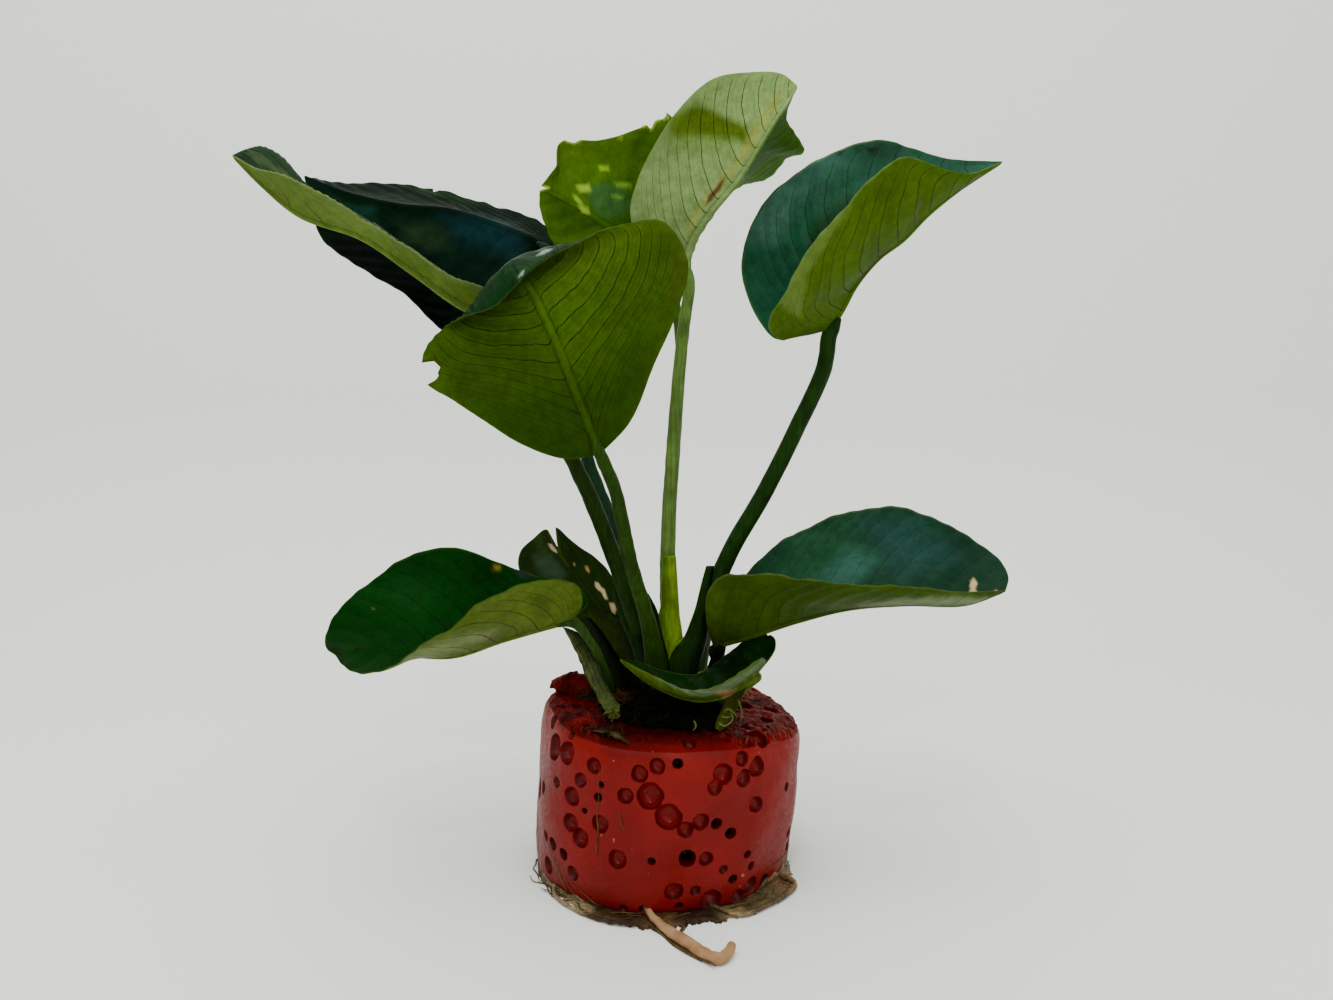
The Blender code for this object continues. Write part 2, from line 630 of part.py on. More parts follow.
def main():
    clear_scene()
    stone_red = make_material("stone_red", (0.27, 0.035, 0.028), 0.45)
    leaf_green = make_material("leaf_green", (0.05, 0.16, 0.03), 0.4)
    stalk_green = make_material("stalk_green", (0.06, 0.13, 0.03), 0.45)
    rhizome_green = make_material("rhizome_green", (0.05, 0.07, 0.02), 0.6)
    withered_olive = make_material("withered_olive", (0.12, 0.13, 0.04), 0.7)
    root_tan = make_material("root_tan", (0.33, 0.18, 0.09), 0.6)
    build_stone(stone_red)
    build_rhizome(rhizome_green)
    clearance = rhizome_clearance()
    for name, leaf in LEAVES.items():
        build_leaf(name, leaf, leaf_green, stalk_green, clearance)
    old_stalk = tube(OLD_STALK_PATH, OLD_STALK_RADII, OLD_STALK_SIDES, OLD_STALK_STEPS)
    add_object("old_stalk", old_stalk, withered_olive)
    build_roots(root_tan)


main()
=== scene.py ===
"""Looks of an anubias plant rooted on a porous red stone.

Each leaf is lofted again from the same rails as its solid, on a fine grid, so that it stays in
its solid's place. Lengths are millimetres until a mesh is made, except in the materials, floor
and lamps, which are in metres. Colours of surfaces are given as they look on a screen.
"""

import math
import random

import bpy
import numpy as np
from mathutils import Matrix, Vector, noise


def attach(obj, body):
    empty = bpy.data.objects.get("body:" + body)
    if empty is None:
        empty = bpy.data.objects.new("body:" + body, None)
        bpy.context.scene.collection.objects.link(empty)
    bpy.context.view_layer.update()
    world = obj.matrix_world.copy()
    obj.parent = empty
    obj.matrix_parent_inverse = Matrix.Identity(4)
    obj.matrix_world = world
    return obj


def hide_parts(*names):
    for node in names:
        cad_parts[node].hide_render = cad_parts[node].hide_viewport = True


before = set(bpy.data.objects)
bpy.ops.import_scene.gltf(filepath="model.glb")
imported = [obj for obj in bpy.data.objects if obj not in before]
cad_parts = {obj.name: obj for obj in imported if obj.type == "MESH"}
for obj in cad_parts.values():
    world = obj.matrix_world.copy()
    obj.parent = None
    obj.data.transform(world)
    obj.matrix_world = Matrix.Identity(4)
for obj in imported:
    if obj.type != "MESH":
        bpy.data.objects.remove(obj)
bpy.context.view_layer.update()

MM = 0.001
FLOOR_CLEARANCE = 0.05

# Camera: the photograph's size in pixels, its focal length in pixels, place and downward tilt
PHOTO_WIDTH = 1333
PHOTO_HEIGHT = 1000
FOCAL_PIXELS = 1080
SENSOR_WIDTH = 36.0
CAMERA_PLACE = (1.7, -275.0, 121.0)
CAMERA_TILT = 5.4

# Floor that bends up into a wall behind the part, and its colour
FLOOR_HALF = 1.6
FLOOR_FRONT = -1.4
WALL_START = 0.22
WALL_TOP = 1.6
BEND_RADIUS = 0.12
BEND_STEPS = 24
FLOOR_COLOUR = (238, 239, 230)

# Sky and lamps: name, place, what it points at, size, power, and colour of the light from 0 to 1
SKY_COLOUR = (0.9, 0.95, 1.0, 1.0)
SKY_STRENGTH = 0.75
LAMPS = [
    ("top_light", (-0.1, -0.1, 0.9), (0, 0, 0.1), 0.9, 9.0, (0.95, 0.98, 1.0)),
    ("front_light", (0.25, -0.9, 0.55), (0, 0, 0.08), 0.8, 4.0, (1.0, 0.99, 0.96)),
    ("glint_light", (-0.05, -0.45, 0.65), (0, 0, 0.08), 0.025, 0.7, (1.0, 1.0, 1.0)),
]

# Stone: radius at each height, its lean, how much its top rises or drops at the rim, its lumps
STONE_PROFILE = [
    (0.0, 31.2), (1.6, 32.6), (6.0, 33.1), (12.0, 33.4), (18.0, 33.8), (24.0, 33.9), (30.0, 33.6),
    (35.0, 33.2), (38.5, 32.6), (40.8, 31.0), (41.8, 28.0), (42.0, 20.0), (42.0, 10.0),
]
STONE_HEIGHT = 42.0
STONE_LEAN = 3.6
RIM_DISTANCE = 33.0
LEFT_RISE = 7.0
RIGHT_DROP = 3.2
BACK_RISE = 4.0
RISE_POWER = 3
LUMP_SIZE = 14.0
LUMP_DEPTH = 0.55
STONE_COLUMNS = 520
STONE_STEP = 0.41
CROWN_RADIUS = 0.6
WALL_ANGLE = 48

# Crust on the stone's top: the heights between which it sets in, how ragged its edge is, where it
# thins out at the front, and its relief as depth and size of the lumps
CRUST_HEIGHTS = (38.0, 41.0)
CRUST_EDGE = (0.15, 0.6)
CRUST_RAGGED = (0.25, 4.0)
CRUST_START = 0.3
SMOOTH_FRONT = (-25, -31)
SMOOTH_SIDE = (20, 14)
SMOOTH_MIDDLE = 2
SMOOTH_SHARE = 0.85
CRUST_RELIEF = (0.55, 2.6)
CRUST_GRIT = (0.4, 1.1)
STONE_RELIEF = (0.12, 3.0)

# Pits that show bubbles with a red inside: angle from the front towards +X, height, radius
BUBBLE_PITS = [
    (-66, 38.2, 2.0), (-58, 34.2, 3.4), (-48, 38.6, 1.2), (-48, 35.1, 2.9), (-33, 34.5, 2.1),
    (-66, 23.5, 1.7), (-43, 19.6, 2.4), (-37, 16.8, 2.4), (-28, 21.2, 2.3), (-61, 12.8, 1.5),
    (-40, 7.5, 1.9), (-60, 5.4, 2.2), (-19, 13.7, 2.3), (-18, 28.8, 2.1), (-13, 34.3, 2.1), (-6, 36.4, 1.9),
    (-8, 29.5, 3.2), (0, 24.8, 3.2), (7, 21.7, 2.1), (13, 23.2, 2.1), (21, 34.1, 2.6), (18, 31.1, 1.9),
    (30, 37.2, 1.9), (38, 34.5, 2.5), (31, 32.3, 2.1), (38, 25.2, 2.0), (17, 13.9, 1.8), (25, 10.6, 1.2),
    (5, 6.3, 2.3), (14, 6.0, 1.4), (21, 3.2, 2.8), (41, 4.0, 2.4), (34, 2.6, 2.0), (52, 3.2, 1.7),
    (-53, 27.4, 1.5), (-43, 25.8, 2.4), (-39, 30.4, 1.9), (68, 12.5, 1.8), (72, 8.3, 1.8), (-76, 21.2, 3.1),
]

# Pits that go deep, painted black inside as shadow, in the same terms
DEEP_PITS = [
    (-30, 27.4, 1.2), (-29, 30.6, 0.9), (-36, 23.4, 0.9), (-54, 12.3, 1.7), (-46, 11.3, 1.6),
    (-46, 14.5, 0.5), (2, 37.1, 1.3), (20, 22.2, 1.5), (27, 19.2, 1.5), (58, 26.7, 1.2), (-5, 14.0, 1.0),
    (9, 14.6, 2.2), (30, 7.8, 1.3), (36, 13.1, 1.2), (39, 9.6, 1.2), (8, 2.4, 1.2), (-15, 2.0, 1.2),
    (-7, 2.0, 1.2),
]

# Pits in the top and its shoulder: x, y, radius
TOP_PITS = [
    (7, -30, 1.8), (9, -27, 1.2), (24, -22, 2.8), (21, -18, 1.5), (27, -9, 1.8), (22, 1, 2.1), (29, 2, 2.1),
    (16, -27, 0.9), (-4, -28, 1.2), (-5, -26, 1.0), (-14, 22, 2.3), (12, 22, 2.2), (-24, 10, 2.0),
    (18, 15, 1.6), (-18, 17, 1.3), (2, 25, 1.7), (26, 8, 1.2), (24, -15, 1.3),
]

# Pits round the back, and small ones in the crumbly top, placed by a seeded draw
BACK_PITS = 60
BACK_PIT_ANGLE = (85, 275)
BACK_PIT_HEIGHT = (3, 38)
BACK_PIT_RADIUS = (0.7, 3.1)
BACK_PIT_SPACING = -0.3
CRUST_PITS = 150
CRUST_REACH = (12, 32.5)
CRUST_PIT_RADIUS = (0.35, 1.0)
PIT_SEED = 7

# How each kind of pit looks: depth as a share of its radius, and how much painted black shadow it has
BUBBLE = (0.95, 0.0)
DEEP = (1.9, 1.0)
SHALLOW = (0.8, 0.35)

# Shape of a pit: how steep its wall is, how near a point slides onto its rim, how uneven the rim
# is, and the depths at which its own material starts and its painted shade and inner red are full
WALL_POWER = 3.2
RIM_SNAP = 0.24
RIM_WOBBLE = (0.14, 2.4)
PIT_START = 0.25
PIT_FULL = 2.6

# Rhizome: the creeping stem on the stone, with a short side shoot towards the back
RHIZOME_PATH = [(-14.5, -2.5, 46.7), (-8, 0.5, 47.0), (-1, 0.5, 47.1), (6, -1.5, 47.0), (13.5, -7, 46.1)]
RHIZOME_RADII = [2.4, 4.3, 4.6, 4.3, 2.6]
SIDE_SHOOT_PATH = [(-1, 1, 46.9), (-0.5, 7, 46.5), (1.5, 12.5, 46.1)]
SIDE_SHOOT_RADII = [4.2, 4.0, 2.6]
RHIZOME_SIDES = 40
RING_HEIGHT = 0.18
RING_RATE = 2.4
RINGS_ABOVE = 46

# Leaves: midrib and the two edges of the blade as x, y, z, all from the base to the tip.
# Left and right are as seen on the upper face with the tip up. The stalk's route runs down
# from the blade, and its radii are at the blade and at the rhizome. The seat is how far the
# stalk's end sits below the blade's base. The arch is how far each half bulges towards the
# upper face.
LEAVES = {
    "front": {
        "midrib": [(-13, -36, 108.5), (-18, -41, 122.5), (-23, -43, 135.5), (-28, -40, 145),
                   (-32, -37, 149.5), (-32, -40, 150), (-29, -45, 145.5)],
        "left": [(-13, -36, 108.5), (-6.5, -34, 115.5), (-1, -32, 128.5), (4, -30, 140), (6.5, -28, 151.5),
                 (1, -27, 160.5), (-8.5, -29, 159.5), (-19.5, -36, 153.5), (-25, -42, 149.5),
                 (-29, -45, 145.5)],
        "right": [(-13, -36, 108.5), (-20.5, -36, 107.5), (-31, -35, 111), (-39, -34, 116),
                  (-46, -33, 120.5), (-52.5, -32, 125), (-52.5, -31, 131.5), (-48.5, -30, 136.5),
                  (-43, -36, 138.5), (-34.5, -43, 140.5), (-29, -45, 145.5)],
        "stalk": [(-10, -30, 100), (-7, -20, 82.5), (-2.5, -10, 63.5), (0, -5, 46.5)],
        "seat": 2.3,
        "radii": (1.4, 2.1),
        "arch": (2, 2),
    },
    "left_near": {
        "midrib": [(-37, -14, 139.5), (-45.5, -17, 142), (-57, -20, 150), (-68, -23, 157.5),
                   (-81, -27, 162), (-88, -30, 168), (-93.5, -32, 174)],
        "left": [(-37, -14, 139.5), (-39, -22, 145.5), (-46, -28, 148), (-58, -34, 155.5),
                 (-68.5, -38, 162.5), (-79, -38, 168), (-88, -35, 171), (-93.5, -32, 174)],
        "right": [(-37, -14, 139.5), (-42, -4, 145), (-55, 0, 150.5), (-66, -6, 157), (-77, -10, 165.5),
                  (-83, -15, 171), (-87.5, -19, 176.5), (-90.5, -22, 178), (-92.5, -28, 176),
                  (-93.5, -32, 174)],
        "stalk": [(-21, -12, 105.5), (-15, -8, 91), (-3.5, -1, 52), (-3, -0.5, 46)],
        "seat": 1.4,
        "radii": (1.6, 2.3),
        "arch": (1.5, 1.5),
    },
    "left_back": {
        "midrib": [(-29, 14, 159.5), (-35, 13, 163.5), (-45, 12, 167.5), (-54.5, 11, 170), (-67, 10, 171),
                   (-79.5, 9, 173.5), (-91, 8, 177.5)],
        "left": [(-29, 14, 159.5), (-36, 6, 147.5), (-54.5, 2, 138), (-63.5, 2, 146.5), (-77, 2, 154.5),
                 (-85.5, 3, 161.5), (-88, 4, 169.5), (-91, 8, 177.5)],
        "right": [(-29, 14, 159.5), (-27.5, 18, 163), (-32.5, 24, 168.5), (-44.5, 30, 173),
                  (-58.5, 32, 177.5), (-72, 31, 180), (-84.5, 26, 179), (-89.5, 16, 178), (-91, 8, 177.5)],
        "stalk": [(-19, 10, 104.5), (-14.5, 10, 92), (-6.5, 9.5, 67), (-4.5, 7, 47)],
        "seat": 2.1,
        "radii": (1.5, 2.0),
        "arch": (-2, -2),
    },
    "top_front": {
        "midrib": [(7, 2, 149), (7.5, 0, 158), (12.5, -3, 166), (19.5, -5, 174), (26.5, -7, 185),
                   (33, -8, 195.5)],
        "left": [(7, 2, 149), (8, 14, 156.5), (11, 24, 165), (18, 28, 176), (22.5, 28, 179), (29, 25, 180),
                 (33.5, 20, 184.5), (37.5, 14, 185), (34.5, 8, 188), (31.5, 2, 190.5), (33, -8, 195.5)],
        "right": [(7, 2, 149), (3, 3, 155.5), (-5, 3, 160.5), (-7.5, 3, 167.5), (-5.5, 2, 175.5),
                  (-2, 1, 182.5), (4, -1, 191), (13, -3, 198.5), (22, -5, 199.5), (29.5, -7, 198.5),
                  (33, -8, 195.5)],
        "stalk": [(6, 3, 138), (3, 5, 102.5), (2, 5, 79), (2.5, 4, 56.5), (3, 3, 47)],
        "seat": 2.1,
        "radii": (1.4, 2.3),
        "arch": (2, 2),
    },
    "top_back": {
        "midrib": [(3, 24, 151.5), (-2.5, 20, 158.5), (-10, 14, 163.5), (-18, 8, 168), (-25, 4, 171.5),
                   (-30, 2, 173.5)],
        "left": [(3, 24, 151.5), (-5.5, 16, 147), (-15.5, 8, 149), (-24, 4, 155.5), (-28, 2, 162.5),
                 (-30, 2, 168.5), (-30, 2, 173.5)],
        "right": [(3, 24, 151.5), (5, 24, 158), (5, 20, 168.5), (5.5, 17, 181), (5, 16, 191),
                  (1.5, 16, 195.5), (-5, 14, 191), (-15.5, 10, 187), (-25, 6, 185.5), (-26, 3, 179),
                  (-30, 2, 173.5)],
        "stalk": [(5.5, 23, 135.5), (4.5, 22, 115), (3, 19, 93), (2, 14, 66.5), (1, 10.5, 46)],
        "seat": 2.0,
        "radii": (1.3, 1.8),
        "arch": (-1.5, -2),
    },
    "right": {
        "midrib": [(42, -2, 138), (45, -3, 142.5), (48.5, -4, 149), (54, -6, 155.5), (59.5, -6, 159.5),
                   (65.5, -5, 165.5), (73, -4, 171.5), (84.5, -2, 179)],
        "left": [(42, -2, 138), (35.5, 1, 136.5), (29.5, 3, 136), (25.5, 5, 140.5), (23, 6, 145.5),
                 (21, 8, 154), (22, 9, 161), (27, 11, 171.5), (35.5, 12, 179), (45.5, 12, 184.5),
                 (56.5, 10, 187), (64, 8, 184.5), (73, 4, 181), (84.5, -2, 179)],
        "right": [(42, -2, 138), (35.5, -8, 136.5), (28.5, -14, 135), (25.5, -20, 138.5),
                  (28.5, -24, 144.5), (34.5, -26, 155.5), (41.5, -26, 163.5), (48, -25, 170.5),
                  (56, -21, 176), (62, -18, 175.5), (69, -13, 174.5), (75.5, -8, 175), (84.5, -2, 179)],
        "stalk": [(41.5, -1, 129), (35, 1, 113.5), (26.5, 2, 96), (18.5, 2, 82), (13, 1, 69),
                  (8.5, -0.5, 53.5), (7.2, -2, 48)],
        "seat": 2.2,
        "radii": (2.0, 2.4),
        "arch": (-2, -2),
    },
    "low_left": {
        "midrib": [(-22.5, -8, 65.5), (-28.5, -9, 64), (-39, -10, 61), (-51.5, -11, 57), (-63.5, -11, 57.5),
                   (-75, -10, 59), (-81, -10, 57)],
        "left": [(-22.5, -8, 65.5), (-19, -14, 70.5), (-19.5, -19, 76), (-23.5, -22, 78), (-30.5, -25, 78),
                 (-41, -27, 73.5), (-49.5, -27, 67), (-56, -26, 63), (-63.5, -24, 57.5), (-71, -22, 55.5),
                 (-77.5, -16, 56), (-81, -10, 57)],
        "right": [(-22.5, -8, 65.5), (-18.5, -3, 69), (-22, 2, 73), (-32.5, 5, 74.5), (-42.5, 8, 77.5),
                  (-56, 13, 81), (-68, 13, 78.5), (-77, 11, 72.5), (-81.5, 9, 69), (-85.5, 5, 64),
                  (-86.5, 0, 60), (-84.5, -6, 58), (-81, -10, 57)],
        "stalk": [(-17, -6.5, 60), (-14, -4.5, 52.5), (-12, -3, 47)],
        "seat": 1.1,
        "radii": (1.4, 1.8),
        "arch": (-1.5, -2),
    },
    "split": {
        "midrib": [(-8, 3.5, 53.5), (-13, 6, 61), (-20, 9, 70.5), (-27, 10, 80)],
        "left": [(-8, 3.5, 53.5), (-15.5, 4, 57.5), (-22.5, 8, 62), (-31, 11, 67), (-38, 12, 75.5),
                 (-37.5, 12, 80), (-34, 12, 83.5), (-30.5, 12, 86), (-27, 10, 80)],
        "right": [(-8, 3.5, 53.5), (-5.5, 4, 56), (-6.5, 5, 60), (-9.5, 8, 68), (-15, 10, 76.5),
                  (-22.5, 11, 82), (-28, 12, 86.5), (-27, 10, 80)],
        "stalk": [(-7, 1.5, 47.5)],
        "seat": 2.0,
        "radii": (1.3, 1.6),
        "arch": (-1, -1),
    },
    "low_right": {
        "midrib": [(13.5, -6, 58.5), (21, -8, 61), (34, -11, 66), (46.5, -13, 69.5), (60.5, -13, 70.5),
                   (76.5, -10, 70), (86.5, -8, 73)],
        "left": [(13.5, -6, 58.5), (15, 0, 62.5), (19.5, 6, 70.5), (28, 10, 79.5), (33.5, 12, 83.5),
                 (40.5, 14, 86.5), (47, 15, 89.5), (55, 16, 91), (64, 16, 91.5), (76.5, 14, 87.5),
                 (83.5, 10, 83.5), (88.5, 2, 78.5), (88.5, -4, 75.5), (86.5, -8, 73)],
        "right": [(13.5, -6, 58.5), (11.5, -13, 67), (11.5, -18, 74), (15, -22, 79), (21.5, -25, 80),
                  (35, -27, 79), (46, -27, 78), (61, -24, 76.5), (74.5, -16, 74), (86.5, -8, 73)],
        "stalk": [(14.6, -5, 52.5), (13, -5, 48)],
        "seat": 1.4,
        "radii": (0.9, 1.3),
        "arch": (-2, -1.5),
    },
    "small": {
        "midrib": [(23, -14, 53), (18.5, -17, 50), (10, -20, 48.5), (2, -20, 50.5), (-4.5, -19, 54),
                   (-9.5, -18, 58)],
        "left": [(23, -14, 53), (25.5, -20, 58), (24.5, -22.5, 59.3), (19.5, -25.5, 56.6), (13, -27, 53.6),
                 (7, -26, 52.5), (0, -23, 54.5), (-9.5, -18, 58)],
        "right": [(23, -14, 53), (28.5, -9, 57.5), (29, -5, 60.5), (25.5, -4, 61), (20.5, -4.5, 58.5),
                  (16, -7.5, 56), (10, -10.5, 52.5), (1, -13.5, 54), (-5, -15, 56.5), (-9.5, -18, 58)],
        "stalk": [(19, -11.5, 48.5), (14.5, -8, 45)],
        "seat": 2.4,
        "radii": (1.2, 1.5),
        "arch": (-1, -1.5),
    },
}

# Finish of each leaf: colours of its two faces and rim, veins a side, how far they sweep
# towards the tip, how dark they are, how much the rim waves, and how glossy the upper face is
FINISH_PARTS = ("upper", "under", "rim", "veins", "sweep", "vein_share", "wave", "gloss")
LEAF_FINISH = {
    "front": ((8, 44, 12), (56, 84, 2), (74, 92, 24), 15, 0.52, 1.1, 0.4, 0.8),
    "left_near": ((18, 48, 20), (98, 122, 44), (128, 146, 84), 9, 0.8, 0.6, 0.5, 0.3),
    "left_back": ((1, 22, 9), (60, 84, 10), (20, 44, 16), 9, 0.5, 0.5, 0.9, 0.9),
    "top_front": ((60, 104, 0), (128, 154, 88), (116, 136, 70), 12, 0.5, 0.95, 0.5, 0.3),
    "top_back": ((66, 100, 0), (70, 100, 0), (70, 96, 10), 8, 0.4, 0.35, 0.8, 0.4),
    "right": ((20, 72, 46), (68, 94, 4), (100, 124, 60), 11, 0.5, 0.9, 0.6, 0.6),
    "low_left": ((2, 46, 0), (88, 106, 34), (50, 76, 20), 11, 0.4, 0.9, 0.7, 0.4),
    "split": ((28, 48, 2), (50, 70, 6), (70, 76, 30), 6, 0.4, 0.4, 0.4, 0.3),
    "low_right": ((8, 50, 26), (52, 74, 8), (84, 96, 40), 13, 0.4, 0.6, 0.9, 0.6),
    "small": ((8, 40, 2), (68, 88, 16), (86, 100, 40), 7, 0.5, 0.4, 0.4, 0.5),
}

# Bites and tears: the half of the blade, and an outline in the photograph's pixels
LEAF_CUTS = {
    "front": [
        ("right", [(400, 350), (419, 363), (434, 361), (438, 365), (441, 367), (438, 373), (439, 376),
         (436, 380), (425, 386), (422, 387), (400, 392)]),
        ("right", [(404, 396), (422, 388), (431, 395), (433, 400), (438, 406), (424, 410)]),
    ],
    "top_back": [
        ("both", [(520, 180), (538, 185), (548, 188), (538, 191), (520, 194)]),
        ("right", [(636, 90), (640, 127), (647, 125), (651, 130), (655, 121), (660, 119), (668, 118),
         (661, 109), (667, 106), (680, 113), (700, 90)]),
        ("right", [(560, 120), (566, 141), (574, 143), (580, 140), (584, 120)]),
    ],
    "left_back": [("both", [(430, 180), (434, 193), (440, 190), (446, 180)])],
    "split": [("both", [(546, 526), (552, 538), (559, 551), (557, 540), (555, 524)])],
    "low_right": [("left", [(990, 603), (996, 592), (1010, 604)])],
    "small": [("right", [(764, 631), (768, 636), (771, 634), (772, 630)])],
}
TEAR_COLOURS = {
    "front": (60, 60, 20),
    "top_back": (150, 168, 60),
    "split": (60, 70, 20),
    "low_right": (150, 140, 90),
    "small": (20, 30, 8),
    "left_back": (30, 44, 20),
}
